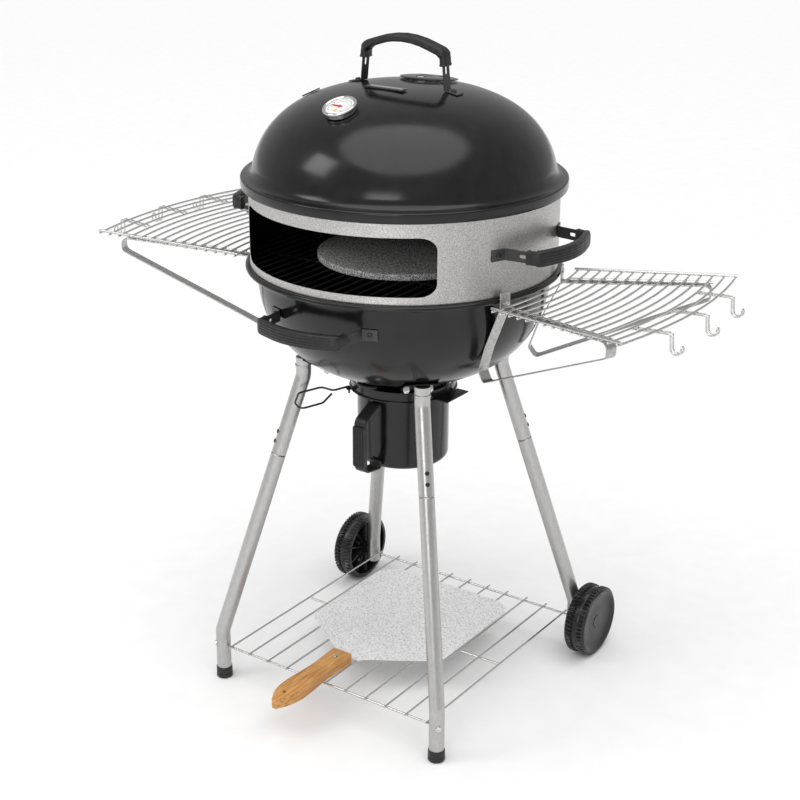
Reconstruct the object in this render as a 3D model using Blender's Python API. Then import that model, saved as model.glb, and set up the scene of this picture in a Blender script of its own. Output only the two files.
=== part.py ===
"""Kettle charcoal grill with a pizza ring, two wire side trays and a pizza peel.

The origin is on the ground under the kettle's centre line. +Z is up, the front
faces -Y, and the trays are on +X and -X. All sizes are in metres.
"""

import math

import bmesh
import bpy
from mathutils import Matrix, Vector

# ---- clearances ------------------------------------------------------------
GAP = 0.0003
RUN = 0.0004
WELD = 0.0006
MERGE = 0.000002

# ---- kettle ----------------------------------------------------------------
SHELL = 0.0020
BOWL_R = 0.2626
BOWL_RIM_Z = 0.8119
BOWL_DEPTH = 0.2017
BOWL_POWER_R = 2.405
BOWL_POWER_Z = 2.282
LEDGE_UP = 0.0116
RIM_OUT = 0.0211
RIM_ROLL = 0.0045
VENT_R = 0.045
RING_R = BOWL_R + 0.0124
RING_WALL = 0.0015
RING_HEIGHT = 0.1547
MOUTH_HALF_DEG = 46.0
MOUTH_SILL = 0.0140
MOUTH_HEIGHT = 0.1000
MOUTH_CORNER = 0.0220
LID_R = BOWL_R + 0.0092
LID_DOME = 0.1978
LID_SPRING = 0.0386
LID_POWER = 2.52
LID_SKIRT_R = BOWL_R + 0.0257
LID_SKIRT = 0.0148

# ---- inside the kettle -----------------------------------------------------
GRATE_R = BOWL_R + 0.0049
GRATE_RIM_WIRE = 0.0025
GRATE_WIRE = 0.0018
GRATE_PITCH = 0.0205
GRATE_CROSS_Y = 0.105
GRATE_SAG = 0.0002
STONE_R = 0.1550
STONE_THICK = 0.0120
COAL_R = BOWL_R - 0.0666
COAL_Z = 0.6790
COAL_WIRE = 0.0022
COAL_RIM_WIRE = 0.0028
COAL_PITCH = 0.0300

# ---- handles ---------------------------------------------------------------
STRAP = 0.0020
STRAP_WIDE = 0.0200
HANDLE_FOOT = 0.0870
HANDLE_TAB = 0.0270
HANDLE_SHOULDER = 0.0810
HANDLE_SHOULDER_UP = 0.0625
HANDLE_CROWN_UP = 0.0810
GRIP_START_UP = 0.0410
GRIP_THICK = 0.0140
GRIP_WIDE = 0.0260
HANDLE_SCREW_R = 0.0046
BOWL_HANDLE_Z = 0.7665
RING_HANDLE_UP = 0.0735

# ---- legs and rack ---------------------------------------------------------
LEG_R = 0.0140
LEG_TOP_REACH = BOWL_R - 0.0781
LEG_FOOT_REACH = 0.3495
LEG_SHOULDER_Z = 0.6140
LEG_KNEE_Z = 0.1008
LEG_BEND = 0.0450
LEG_SEAM_Z = 0.4610
SPIGOT_R = 0.0122
SPIGOT_LONG = 0.0450
SADDLE_REACH = LEG_TOP_REACH - 0.0245
SADDLE_LONG = 0.0640
SADDLE_WIDE = 0.0620
SADDLE_THICK = 0.0025
CAP_WALL = 0.0015
CAP_HIGH = 0.0230
CAP_FLOOR = 0.0040
RACK_WIDE = LEG_FOOT_REACH * math.sqrt(2.0) - 0.04057
RACK_LONG = LEG_FOOT_REACH * math.sqrt(2.0) - 0.00667
RACK_Z = 0.0690
RACK_WIRE = 0.0018
RACK_CROSS = 0.0022
RACK_WIRES = 11
RACK_OVERRUN = 0.0080

# ---- wheels ----------------------------------------------------------------
WHEEL_R = 0.0700
WHEEL_WIDE = 0.0430
AXLE_R = 0.0040
REAR_LEG_END_Z = 0.0460

# ---- ash catcher -----------------------------------------------------------
COLLAR_R = 0.0970
COLLAR_WALL = 0.0020
COLLAR_LOW_Z = 0.5830
COLLAR_TOP_Z = 0.6025
POT_R = 0.0850
POT_WALL = 0.0015
POT_LOW_Z = 0.4445
POT_TOP_Z = 0.5990
POT_FLANGE = 0.0070
POT_HANDLE_REACH = 0.1430
POT_HANDLE_WIDE = 0.0260
LEVER_Z = 0.6060
LEVER_DEG = -95.0
KNOB_REACH = 0.1060
BAIL_WIRE = 0.0019
EAR_DEG = -126.0
EAR_REACH = 0.1050

# ---- side trays ------------------------------------------------------------
TRAY_ARC_X = -0.3100
TRAY_INNER_R = BOWL_R + 0.0304 - TRAY_ARC_X
TRAY_PITCH = 0.0197
TRAY_WIRES = 15
TRAY_WIRE = 0.0020
TRAY_EDGE_WIRE = 0.0025
TRAY_INNER_X = BOWL_R + 0.0145
TRAY_INNER_Y = 0.1408
TRAY_EDGE_SLOPE = 0.2722
TRAY_TILT = 0.0636
TRAY_Z = 0.8151
TRAY_OVERRUN = 0.0040
BRACKET_DEG = 19.5
BRACKET_WIDE = 0.0220
BRACKET_OUT = BOWL_R + 0.2829
BRACKET_DROP = 0.0250
BRACKET_TAIL = 0.0290
HOOK_WIRE = 0.0015
HOOK_HALF = 0.0048
HOOK_Y = 0.1140
HOOK_OUT = 0.0210
HOOK_DROP = 0.0320

# ---- lid fittings ----------------------------------------------------------
THERMO_REACH = 0.1650
THERMO_DEG = -95.0
THERMO_R = 0.0300
THERMO_HIGH = 0.0120
DAMPER_R = 0.0520
DAMPER_Y = 0.0740
BADGE_LONG = 0.0800
BADGE_WIDE = 0.0160
BADGE_Y = 0.0580
BADGE_SEAT = 0.0006
CLIP_REACH = 0.1740
CLIP_DEG = 196.0

# ---- peel ------------------------------------------------------------------
PEEL_X = -0.0205
PEEL_HALF = 0.1550
PEEL_BACK_Y = 0.2000
PEEL_SHOULDER_Y = -0.0620
PEEL_NECK_Y = -0.1450
PEEL_CORNER = 0.0450
PEEL_SHEET = 0.0015
PEEL_NECK = 0.0280
PEEL_HANDLE_END_Y = -0.3720
PEEL_HANDLE_THICK = 0.0200
RIVET_R = 0.0028

# ---- values that follow ----------------------------------------------------
LEDGE_Z = BOWL_RIM_Z + LEDGE_UP
RING_LOW_Z = LEDGE_Z + GAP
RING_TOP_Z = RING_LOW_Z + RING_HEIGHT
LID_SEAT_Z = RING_TOP_Z + GAP
LID_BASE_Z = LID_SEAT_Z - LID_SPRING
RING_HANDLE_Z = RING_LOW_Z + RING_HANDLE_UP
GRATE_Z = LEDGE_Z + GAP + GRATE_RIM_WIRE
STONE_LOW_Z = GRATE_Z + GRATE_RIM_WIRE + GAP
PEEL_LOW_Z = RACK_Z + RACK_WIRE + GAP
LEG_LEAN = (LEG_FOOT_REACH - LEG_TOP_REACH) / (LEG_SHOULDER_Z - LEG_KNEE_Z)
FOOT_X = LEG_FOOT_REACH / math.sqrt(2.0)
WHEEL_IN_X = FOOT_X + LEG_R + 0.0009


# ---- tools -----------------------------------------------------------------
def material(name, colour, roughness, metallic):
    made = bpy.data.materials.new(name)
    made.use_nodes = True
    shader = made.node_tree.nodes["Principled BSDF"]
    shader.inputs["Base Color"].default_value = (*colour, 1.0)
    shader.inputs["Roughness"].default_value = roughness
    shader.inputs["Metallic"].default_value = metallic
    return made


def finish_mesh(bm, name):
    bmesh.ops.remove_doubles(bm, verts=bm.verts, dist=MERGE)
    bmesh.ops.recalc_face_normals(bm, faces=bm.faces)
    mesh = bpy.data.meshes.new(name)
    bm.to_mesh(mesh)
    bm.free()
    return mesh


def lathe(profile, steps, name="turned"):
    """A profile of (radius, height) turned about Z. It closes on itself unless both ends are on the axis."""
    bm = bmesh.new()
    verts = [bm.verts.new((radius, 0.0, height)) for radius, height in profile]
    edges = [bm.edges.new(pair) for pair in zip(verts, verts[1:])]
    if profile[0][0] > 0.0 or profile[-1][0] > 0.0:
        edges.append(bm.edges.new((verts[-1], verts[0])))
    bmesh.ops.spin(
        bm,
        geom=verts + edges,
        cent=(0.0, 0.0, 0.0),
        axis=(0.0, 0.0, 1.0),
        angle=math.tau,
        steps=steps,
        use_merge=True,
    )
    return finish_mesh(bm, name)


def loft(rings, name="loft", closed=False):
    """Rings of points joined in turn, with flat caps on an open one."""
    bm = bmesh.new()
    rows = [[bm.verts.new(point) for point in ring] for ring in rings]
    count = len(rows[0])
    pairs = list(zip(rows, rows[1:]))
    if closed:
        pairs.append((rows[-1], rows[0]))
    else:
        bm.faces.new(rows[0][::-1])
        bm.faces.new(rows[-1])
    for low, high in pairs:
        for index in range(count):
            after = (index + 1) % count
            bm.faces.new((low[index], low[after], high[after], high[index]))
    return finish_mesh(bm, name)


def rounded(points, radii, steps=3):
    """A path with its inner corners turned into arcs."""
    path = [Vector(points[0])]
    for before, corner, after, radius in zip(points, points[1:], points[2:], radii):
        corner = Vector(corner)
        back = (Vector(before) - corner).normalized()
        ahead = (Vector(after) - corner).normalized()
        half = back.angle(ahead) / 2.0
        reach = radius / math.tan(half)
        centre = corner + (back + ahead).normalized() * radius / math.sin(half)
        start = corner + back * reach - centre
        turn = math.pi - 2.0 * half
        axis = start.cross(-back)
        for step in range(steps + 1):
            path.append(centre + Matrix.Rotation(turn * step / steps, 3, axis) @ start)
    path.append(Vector(points[-1]))
    return path


def rod(path, radius, sides, side_hint=(0.0, 0.0, 1.0)):
    """A round bar along a path, mitred at each corner."""
    path = [Vector(point) for point in path]
    ways = [(after - before).normalized() for before, after in zip(path, path[1:])]
    hint = Vector(side_hint)
    if abs(ways[0].dot(hint)) > 0.9:
        hint = Vector((0.0, 1.0, 0.0))
    across = ways[0].cross(hint).normalized()
    rings = []
    for index, point in enumerate(path):
        way = ways[max(index - 1, 0)]
        after = ways[min(index, len(ways) - 1)]
        plane = (way + after).normalized()
        up = way.cross(across).normalized()
        ring = []
        for corner in range(sides):
            angle = math.tau * (corner + 0.5) / sides
            spoke = (across * math.cos(angle) + up * math.sin(angle)) * radius
            ring.append(point + spoke - way * spoke.dot(plane) / way.dot(plane))
        rings.append(ring)
        across = (way.rotation_difference(after) @ across).normalized()
    return loft(rings)


def ribbon(path, thick, wide, closed=False):
    """A flat strap along a path in XZ, its width along Y and its corners mitred."""
    path = [Vector((point[0], 0.0, point[-1])) for point in path]
    count = len(path)
    rings = []
    for index, point in enumerate(path):
        way = (point - path[index - 1]).normalized() if closed or index else None
        last = index == count - 1
        after = (path[(index + 1) % count] - point).normalized() if closed or not last else way
        way = way or after
        plane = (way + after).normalized()
        side = Vector((plane.z, 0.0, -plane.x)) * thick / 2.0 / way.dot(plane)
        half = Vector((0.0, wide / 2.0, 0.0))
        rings.append([point + side + half, point + side - half, point - side - half, point - side + half])
    return loft(rings, closed=closed)


def box(low, high):
    bm = bmesh.new()
    size = Vector(high) - Vector(low)
    centre = (Vector(high) + Vector(low)) / 2.0
    place = Matrix.Translation(centre) @ Matrix.Diagonal((*size, 1.0))
    bmesh.ops.create_cube(bm, size=1.0, matrix=place)
    return finish_mesh(bm, "box")


def disc(radius, low, high, steps=12):
    return lathe([(0.0, high), (radius, high), (radius, low), (0.0, low)], steps)


def moved(mesh, matrix):
    mesh.transform(matrix)
    if matrix.determinant() < 0.0:
        mesh.flip_normals()
    return mesh


def boolean(base, others, operation):
    """One mesh made of a base and the meshes that are welded to it or cut from it."""
    start = bpy.data.objects.new("work", base)
    bpy.context.scene.collection.objects.link(start)
    group = bpy.data.collections.new("work_group")
    helpers = [bpy.data.objects.new("work_piece", mesh) for mesh in others]
    for helper in helpers:
        group.objects.link(helper)
    modifier = start.modifiers.new("Join", "BOOLEAN")
    modifier.operation = operation
    modifier.operand_type = "COLLECTION"
    modifier.collection = group
    modifier.solver = "EXACT"
    graph = bpy.context.evaluated_depsgraph_get()
    result = bpy.data.meshes.new_from_object(start.evaluated_get(graph))
    for helper in [start, *helpers]:
        bpy.data.objects.remove(helper, do_unlink=True)
    bpy.data.collections.remove(group)
    bm = bmesh.new()
    bm.from_mesh(result)
    bmesh.ops.dissolve_degenerate(bm, dist=MERGE, edges=bm.edges)
    return finish_mesh(bm, "joined")


def weld(meshes):
    return boolean(meshes[0], meshes[1:], "UNION")


def cut(mesh, cutters):
    return boolean(mesh, cutters, "DIFFERENCE")


def piece(name, mesh, paint, parent=None, place=None, sharp_deg=35.0):
    """One named object. A child keeps its place in the world under its parent."""
    made = bpy.data.objects.new(name, mesh)
    bpy.context.scene.collection.objects.link(made)
    if not mesh.materials:
        mesh.materials.append(paint)
    mesh.shade_smooth()
    mesh.set_sharp_from_angle(angle=math.radians(sharp_deg))
    world = place or Matrix.Identity(4)
    if parent:
        made.parent = parent
        world = parent.matrix_basis.inverted() @ world
    made.matrix_basis = world
    return made


def pivot(name, point):
    """An empty on a joint's axis that carries a moving body."""
    made = bpy.data.objects.new(name, None)
    bpy.context.scene.collection.objects.link(made)
    made.empty_display_size = 0.03
    made.matrix_basis = Matrix.Translation(point)
    return made


def turn_z(degrees):
    return Matrix.Rotation(math.radians(degrees), 4, "Z")


def frame(across, up, out, point):
    """A placement whose local X, Y and Z run along the three directions."""
    made = Matrix((across, up, out)).transposed().to_4x4()
    return Matrix.Translation(point) @ made


# ---- kettle curves ---------------------------------------------------------
def bowl_point(share, wall=0.0):
    """A point of the bowl from its rim, share 0, to its lowest point, share 1."""
    angle = share * math.pi / 2.0
    radius = (BOWL_R - wall) * max(math.cos(angle), 0.0) ** (2.0 / BOWL_POWER_R)
    height = BOWL_RIM_Z - (BOWL_DEPTH - wall) * math.sin(angle) ** (2.0 / BOWL_POWER_Z)
    return radius, height


def bowl_under(radius):
    """The height of the bowl's outer face at a radius."""
    angle = math.acos(min(radius / BOWL_R, 1.0) ** (BOWL_POWER_R / 2.0))
    return BOWL_RIM_Z - BOWL_DEPTH * math.sin(angle) ** (2.0 / BOWL_POWER_Z)


def bowl_radius(height):
    """The radius of the bowl's outer face at a height."""
    drop = (BOWL_RIM_Z - height) / BOWL_DEPTH
    angle = math.asin(drop ** (BOWL_POWER_Z / 2.0))
    return BOWL_R * math.cos(angle) ** (2.0 / BOWL_POWER_R)


def dome_point(angle, wall=0.0):
    radius = (LID_R - wall) * max(math.cos(angle), 0.0) ** (2.0 / LID_POWER)
    height = LID_BASE_Z + (LID_DOME - wall) * math.sin(angle) ** (2.0 / LID_POWER)
    return radius, height


def dome_height(radius):
    angle = math.acos((radius / LID_R) ** (LID_POWER / 2.0))
    return dome_point(angle)[1]


def dome_slope(radius):
    """The fall of the dome's surface outwards, as an angle."""
    step = 0.001
    return math.atan2(dome_height(radius - step) - dome_height(radius + step), 2.0 * step)


def dome_place(reach, degrees, lift):
    """A placement on the dome: local Z along its normal, local X sideways."""
    slope = dome_slope(reach)
    out = Vector((math.sin(slope), 0.0, math.cos(slope)))
    down = Vector((math.cos(slope), 0.0, -math.sin(slope)))
    point = Vector((reach, 0.0, dome_height(reach))) + out * lift
    side = out.cross(down)
    return turn_z(degrees) @ frame(side, -down, out, point)


ENAMEL = ((0.012, 0.012, 0.013), 0.16, 0.0)
STEEL = ((0.56, 0.55, 0.53), 0.38, 1.0)
SATIN = ((0.52, 0.52, 0.51), 0.42, 1.0)
CHROME = ((0.70, 0.70, 0.70), 0.18, 1.0)
GREY_STRAP = ((0.45, 0.45, 0.44), 0.45, 1.0)
PLASTIC = ((0.018, 0.018, 0.019), 0.48, 0.0)
WOOD = ((0.46, 0.22, 0.07), 0.55, 0.0)


# ---- kettle shells ---------------------------------------------------------
def make_bowl():
    steps = 36
    shares = [0.12, 0.28, 0.44, 0.60, 0.76]
    rim_r = BOWL_R + RIM_OUT
    roll_z = LEDGE_Z - RIM_ROLL
    outer = [
        (BOWL_R + 0.0060, LEDGE_Z - SHELL),
        (rim_r - RIM_ROLL * 1.1, LEDGE_Z - SHELL),
        (rim_r - SHELL * 1.2, roll_z),
        (rim_r - RIM_ROLL * 0.9, roll_z - RIM_ROLL * 1.1),
        (rim_r - SHELL * 0.5, roll_z - RIM_ROLL * 0.8),
        (rim_r, roll_z),
        (rim_r - RIM_ROLL, LEDGE_Z),
        (BOWL_R + 0.0030, LEDGE_Z),
        (BOWL_R - SHELL + 0.0002, LEDGE_Z - 0.0040),
    ]
    inner = [bowl_point(share, SHELL) for share in shares]
    inner.append((VENT_R, bowl_under(VENT_R) + SHELL))
    back = [(VENT_R, bowl_under(VENT_R))]
    back += [bowl_point(share) for share in reversed(shares)]
    back.append((BOWL_R + 0.0010, BOWL_RIM_Z + 0.0040))
    shell = lathe(outer + inner + back, steps, "bowl")
    piece("bowl", shell, material("black enamel", *ENAMEL))


def make_ring(parent):
    steps = 56
    inside = RING_R - RING_WALL
    profile = [(RING_R, RING_TOP_Z), (RING_R, RING_LOW_Z), (inside, RING_LOW_Z), (inside, RING_TOP_Z)]
    shell = lathe(profile, steps, "ring")
    half = RING_R * math.sin(math.radians(MOUTH_HALF_DEG))
    low = RING_LOW_Z + MOUTH_SILL
    high = low + MOUTH_HEIGHT
    corners = [(half, high), (-half, high), (-half, low), (half, low)]
    mid = ((half, (low + high) / 2.0), *corners, (half, (low + high) / 2.0))
    outline = rounded([(x, 0.0, z) for x, z in mid], [MOUTH_CORNER] * 4, 3)[:-1]
    depths = (-RING_R * 1.3, -RING_R * 0.45)
    cutter = loft([[Vector((point.x, depth, point.z)) for point in outline] for depth in depths])
    shell = cut(shell, [cutter])
    piece("pizza_ring", shell, material("mottled steel", *STEEL), parent)


def make_lid(parent):
    steps = 36
    start = math.radians(10.0)
    angles = [math.radians(degrees) for degrees in (80.0, 68.0, 53.0, 37.0, 22.0)]
    seat = LID_SEAT_Z
    outer = [(0.0, LID_BASE_Z + LID_DOME)]
    outer += [dome_point(angle) for angle in angles] + [dome_point(start)]
    outer += [
        (LID_R + 0.0020, seat + 0.0050),
        (LID_R + 0.0110, seat + 0.0036),
        (LID_SKIRT_R - 0.0016, seat + 0.0006),
        (LID_SKIRT_R, seat - LID_SKIRT),
        (LID_SKIRT_R - SHELL, seat - LID_SKIRT),
        (LID_SKIRT_R - SHELL, seat - 0.0030),
        (RING_R + 0.0060, seat),
        (LID_R - SHELL - 0.0018, seat),
    ]
    inner = [dome_point(angle, SHELL) for angle in [math.radians(9.5), *reversed(angles)]]
    inner.append((0.0, LID_BASE_Z + LID_DOME - SHELL))
    shell = lathe(outer + inner, steps, "lid")
    place = dome_place(DAMPER_Y, 90.0, 0.0)
    holes = []
    for index in range(3):
        spot = place @ turn_z(120.0 * index + 30.0) @ Matrix.Translation((0.026, 0.0, 0.0))
        holes.append(moved(disc(0.0095, -0.02, 0.02, 8), spot))
    shell = cut(shell, holes)
    piece("lid", shell, material("lid enamel", *ENAMEL), parent)


# ---- handles ---------------------------------------------------------------
def handle_path():
    """The strap's centre line, from one foot's bend to the other, in XZ."""
    shoulder = Vector((HANDLE_SHOULDER, 0.0, HANDLE_SHOULDER_UP))
    crown = []
    for share in (0.75, 0.5, 0.25, 0.0, -0.25, -0.5, -0.75):
        rise = HANDLE_CROWN_UP - HANDLE_SHOULDER_UP
        crown.append((shoulder.x * 0.93 * share, 0.0, HANDLE_SHOULDER_UP + rise * (1.0 - share * share)))
    return shoulder, crown


def make_handle(prefix, place, tab_drop, parent):
    """A strap with two screwed feet, and a moulded grip that the strap runs through."""
    shoulder, crown = handle_path()
    foot = Vector((HANDLE_FOOT, 0.0, STRAP / 2.0))
    tab = foot + Vector((HANDLE_TAB * math.cos(tab_drop), 0.0, -HANDLE_TAB * math.sin(tab_drop)))
    leg_bottom = Vector((HANDLE_FOOT, 0.0, STRAP / 2.0))
    mirror = Vector((-1.0, 1.0, 1.0))
    right = [tab, leg_bottom, shoulder]
    path = right + [Vector(point) for point in crown] + [point * mirror for point in reversed(right)]
    strap = ribbon(path, STRAP, STRAP_WIDE)
    screws = []
    for side in (1.0, -1.0):
        along = Vector((side * math.cos(tab_drop), 0.0, -math.sin(tab_drop)))
        out = Vector((side * math.sin(tab_drop), 0.0, math.cos(tab_drop)))
        spot = Vector((foot.x * side, 0.0, foot.z)) + along * HANDLE_TAB * 0.5
        head = frame(along, out.cross(along), out, spot)
        screws.append(moved(disc(HANDLE_SCREW_R, 0.0, 0.0035, 8), head))
    strap = weld([strap, *screws])
    lean = (foot.x - shoulder.x) / (shoulder.z - foot.z)
    slots = []
    for side in (1.0, -1.0):
        middle = Vector((side * (foot.x - lean * 0.032), 0.0, 0.032))
        slots.append(box(middle - Vector((0.006, 0.0028, 0.006)), middle + Vector((0.006, 0.0028, 0.006))))
    strap = cut(strap, slots)
    piece(prefix + "_strap", strap, material(prefix + " strap", (0.02, 0.02, 0.02), 0.4, 0.6), parent, place)

    start = Vector((foot.x - lean * (GRIP_START_UP - foot.z), 0.0, GRIP_START_UP))
    line = [start, shoulder] + [Vector(point) for point in crown] + [shoulder * mirror, start * mirror]
    holes, shells = [], []
    for index, point in enumerate(line):
        way = (point - line[index - 1]).normalized() if index else (line[1] - point).normalized()
        after = (line[index + 1] - point).normalized() if index < len(line) - 1 else way
        plane = (way + after).normalized()
        side = Vector((plane.z, 0.0, -plane.x)) / way.dot(plane)
        inner_t, inner_w = STRAP / 2.0 + RUN, STRAP_WIDE / 2.0 + RUN
        out_t, in_t, half = GRIP_THICK * 0.56, GRIP_THICK * 0.44, GRIP_WIDE / 2.0
        trim = 0.0030
        wide = Vector((0.0, 1.0, 0.0))
        shells.append([
            point + side * (out_t - trim) + wide * half,
            point + side * out_t + wide * (half - trim),
            point + side * out_t - wide * (half - trim),
            point + side * (out_t - trim) - wide * half,
            point - side * (in_t - trim) - wide * half,
            point - side * in_t - wide * (half - trim),
            point - side * in_t + wide * (half - trim),
            point - side * (in_t - trim) + wide * half,
        ])
        holes.append([
            point + side * inner_t + wide * inner_w,
            point + side * inner_t - wide * inner_w,
            point - side * inner_t - wide * inner_w,
            point - side * inner_t + wide * inner_w,
        ])
    first, last = (line[0] - line[1]).normalized(), (line[-1] - line[-2]).normalized()
    holes[0] = [point + first * 0.002 for point in holes[0]]
    holes[-1] = [point + last * 0.002 for point in holes[-1]]
    grip = cut(loft(shells), [loft(holes)])
    piece(prefix + "_grip", grip, material(prefix + " grip", *PLASTIC), parent, place, 50.0)


def make_handles(lid_frame, ring_frame):
    mid_tab = HANDLE_FOOT + HANDLE_TAB * 0.5
    slope = dome_slope(mid_tab)
    base = dome_height(mid_tab) + (mid_tab - HANDLE_FOOT) * math.tan(slope) + GAP
    top = frame(Vector((1, 0, 0)), Vector((0, 1, 0)), Vector((0, 0, 1)), (0.0, 0.0, base))
    make_handle("lid_handle", top, slope, lid_frame)

    widest = bowl_radius(BOWL_HANDLE_Z + STRAP_WIDE / 2.0)
    angle = math.asin(mid_tab / widest)
    seat = widest * math.cos(angle) + (mid_tab - HANDLE_FOOT) * math.tan(angle) + GAP / math.cos(angle)
    front = frame(Vector((1, 0, 0)), Vector((0, 0, 1)), Vector((0, -1, 0)), (0.0, -seat, BOWL_HANDLE_Z))
    make_handle("bowl_handle", front, angle, None)

    angle = math.asin(mid_tab / RING_R)
    seat = RING_R * math.cos(angle) + (mid_tab - HANDLE_FOOT) * math.tan(angle) + GAP / math.cos(angle)
    for side, sign in (("right", 1.0), ("left", -1.0)):
        place = frame(
            Vector((0, sign, 0)), Vector((0, 0, 1)), Vector((sign, 0, 0)), (sign * seat, 0.0, RING_HANDLE_Z)
        )
        make_handle("ring_handle_" + side, place, angle, ring_frame)


# ---- grates and stone ------------------------------------------------------
def torus(radius, wire, height, steps, sides=5):
    ring = []
    for index in range(sides):
        angle = math.tau * (index + 0.5) / sides
        ring.append((radius + wire * math.cos(angle), height + wire * math.sin(angle)))
    return lathe(ring, steps)


def wire_disc(radius, rim_wire, wire, pitch, height, cross_y, steps):
    """Parallel bars inside a wire hoop, with bars across beneath them, all welded."""
    bars = [torus(radius, rim_wire, height, steps)]
    count = int(radius * 0.97 / pitch)
    level = height - GRATE_SAG
    for index in range(-count, count + 1):
        x = index * pitch
        reach = math.sqrt(radius * radius - x * x) - rim_wire * 0.4
        bars.append(rod([(x, -reach, level), (x, reach, level)], wire, 5))
    under = level - wire * 2.0 + WELD
    for y in (-cross_y, cross_y):
        reach = math.sqrt(radius * radius - y * y) - rim_wire - wire
        last = int(reach / pitch) * pitch + wire * 2.0
        bars.append(rod([(-last, y, under), (last, y, under)], wire, 5))
    return weld(bars)


def make_inside(grate_frame, stone_frame, coal_frame):
    grate = wire_disc(GRATE_R, GRATE_RIM_WIRE, GRATE_WIRE, GRATE_PITCH, GRATE_Z, GRATE_CROSS_Y, 32)
    piece("cooking_grate", grate, material("grate enamel", (0.02, 0.02, 0.02), 0.4, 0.0), grate_frame)
    top = STONE_LOW_Z + STONE_THICK
    edge = 0.0015
    profile = [
        (0.0, top), (STONE_R - edge, top), (STONE_R, top - edge),
        (STONE_R, STONE_LOW_Z + edge), (STONE_R - edge, STONE_LOW_Z), (0.0, STONE_LOW_Z),
    ]
    piece("pizza_stone", lathe(profile, 36), material("stone", (0.25, 0.24, 0.23), 0.9, 0.0), stone_frame)
    coal_r = min(COAL_R, bowl_radius(COAL_Z - COAL_RIM_WIRE) - SHELL - COAL_RIM_WIRE - 0.0030)
    coal = wire_disc(coal_r, COAL_RIM_WIRE, COAL_WIRE, COAL_PITCH, COAL_Z, coal_r * 0.45, 24)
    piece("charcoal_grate", coal, material("grate steel", (0.25, 0.24, 0.23), 0.5, 1.0), coal_frame)


# ---- legs ------------------------------------------------------------------
def leg_at(height):
    return LEG_TOP_REACH + (LEG_SHOULDER_Z - height) * LEG_LEAN


def saddle_slope():
    step = 0.001
    return (bowl_under(SADDLE_REACH + step) - bowl_under(SADDLE_REACH - step)) / (2.0 * step)


def tube_ring(centre, way, radius, sides=12):
    """A ring of points square to a direction that lies in XZ."""
    side = Vector((way.z, 0.0, -way.x))
    ring = []
    for index in range(sides):
        angle = math.tau * (index + 0.5) / sides
        ring.append(centre + side * radius * math.cos(angle) + Vector((0.0, radius * math.sin(angle), 0.0)))
    return ring


def leg_upper_mesh():
    slope = saddle_slope()
    tilt = math.atan(slope)
    normal = Vector((math.sin(tilt), 0.0, -math.cos(tilt)))
    touch = Vector((SADDLE_REACH, 0.0, bowl_under(SADDLE_REACH)))
    mid = touch + normal * (GAP + SADDLE_THICK / 2.0)
    down = Vector((0.0, 0.0, -1.0))
    lean = Vector((LEG_LEAN, 0.0, -1.0)).normalized()
    top = tube_ring(Vector((LEG_TOP_REACH, 0.0, 0.0)), down, LEG_R)
    for point in top:
        point.z = mid.z + slope * (point.x - mid.x)
    seam = Vector((leg_at(LEG_SEAM_Z), 0.0, LEG_SEAM_Z))
    shoulder = (LEG_TOP_REACH, 0.0, LEG_SHOULDER_Z)
    bend = rounded([(LEG_TOP_REACH, 0.0, LEG_SHOULDER_Z + 0.03), shoulder, seam], [LEG_BEND], 3)[1:-1]
    rings = [top]
    for index, point in enumerate(bend):
        rings.append(tube_ring(point, down.lerp(lean, index / 3.0).normalized(), LEG_R))
    rings.append(tube_ring(seam, lean, LEG_R))
    rings.append(tube_ring(seam, lean, SPIGOT_R + GAP))
    rings.append(tube_ring(seam - lean * (SPIGOT_LONG + 0.001), lean, SPIGOT_R + GAP))
    tube = loft(rings)
    plate = box(
        (-SADDLE_LONG / 2.0, -SADDLE_WIDE / 2.0, -SADDLE_THICK / 2.0),
        (SADDLE_LONG / 2.0, SADDLE_WIDE / 2.0, SADDLE_THICK / 2.0),
    )
    lay = Matrix.Translation(mid) @ Matrix.Rotation(-tilt, 4, "Y")
    extras = [moved(plate, lay)]
    for side in (-1.0, 1.0):
        spot = lay @ Matrix.Translation((-SADDLE_LONG * 0.32, side * SADDLE_WIDE * 0.34, 0.0))
        extras.append(moved(disc(0.0065, -0.0070, 0.0, 8), spot))
    outward = Vector((-lean.z, 0.0, lean.x))
    for height in (0.0420, 0.0225):
        centre = seam - lean * height + outward * (LEG_R - 0.0008)
        head = frame(lean, outward.cross(lean), outward, centre)
        extras.append(moved(disc(0.0040, 0.0, 0.0022, 8), head))
    return weld([tube, *extras])


def leg_lower_mesh(end_z, axle_way=None):
    down = Vector((0.0, 0.0, -1.0))
    lean = Vector((LEG_LEAN, 0.0, -1.0)).normalized()
    seam = Vector((leg_at(LEG_SEAM_Z), 0.0, LEG_SEAM_Z)) + lean * GAP
    end = Vector((LEG_FOOT_REACH, 0.0, end_z))
    bend = rounded([seam, (LEG_FOOT_REACH, 0.0, LEG_KNEE_Z), end], [LEG_BEND], 3)[1:-1]
    rings = [tube_ring(seam - lean * SPIGOT_LONG, lean, SPIGOT_R)]
    rings.append(tube_ring(seam, lean, SPIGOT_R))
    rings.append(tube_ring(seam, lean, LEG_R))
    for index, point in enumerate(bend):
        rings.append(tube_ring(point, lean.lerp(down, index / 3.0).normalized(), LEG_R))
    rings.append(tube_ring(end, down, LEG_R))
    if axle_way is None:
        spot = (LEG_FOOT_REACH + LEG_R - 0.0008, 0.0, RACK_Z + 0.003)
        head = frame(Vector((0, 1, 0)), Vector((0, 0, 1)), Vector((1, 0, 0)), spot)
        fixing = moved(disc(0.0050, 0.0, 0.0045, 8), head)
    else:
        start = Vector((LEG_FOOT_REACH, 0.0, WHEEL_R))
        reach = LEG_R + WHEEL_WIDE * 0.78
        fixing = rod([start, start + axle_way * reach], AXLE_R, 12)
    return weld([loft(rings), fixing])


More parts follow.
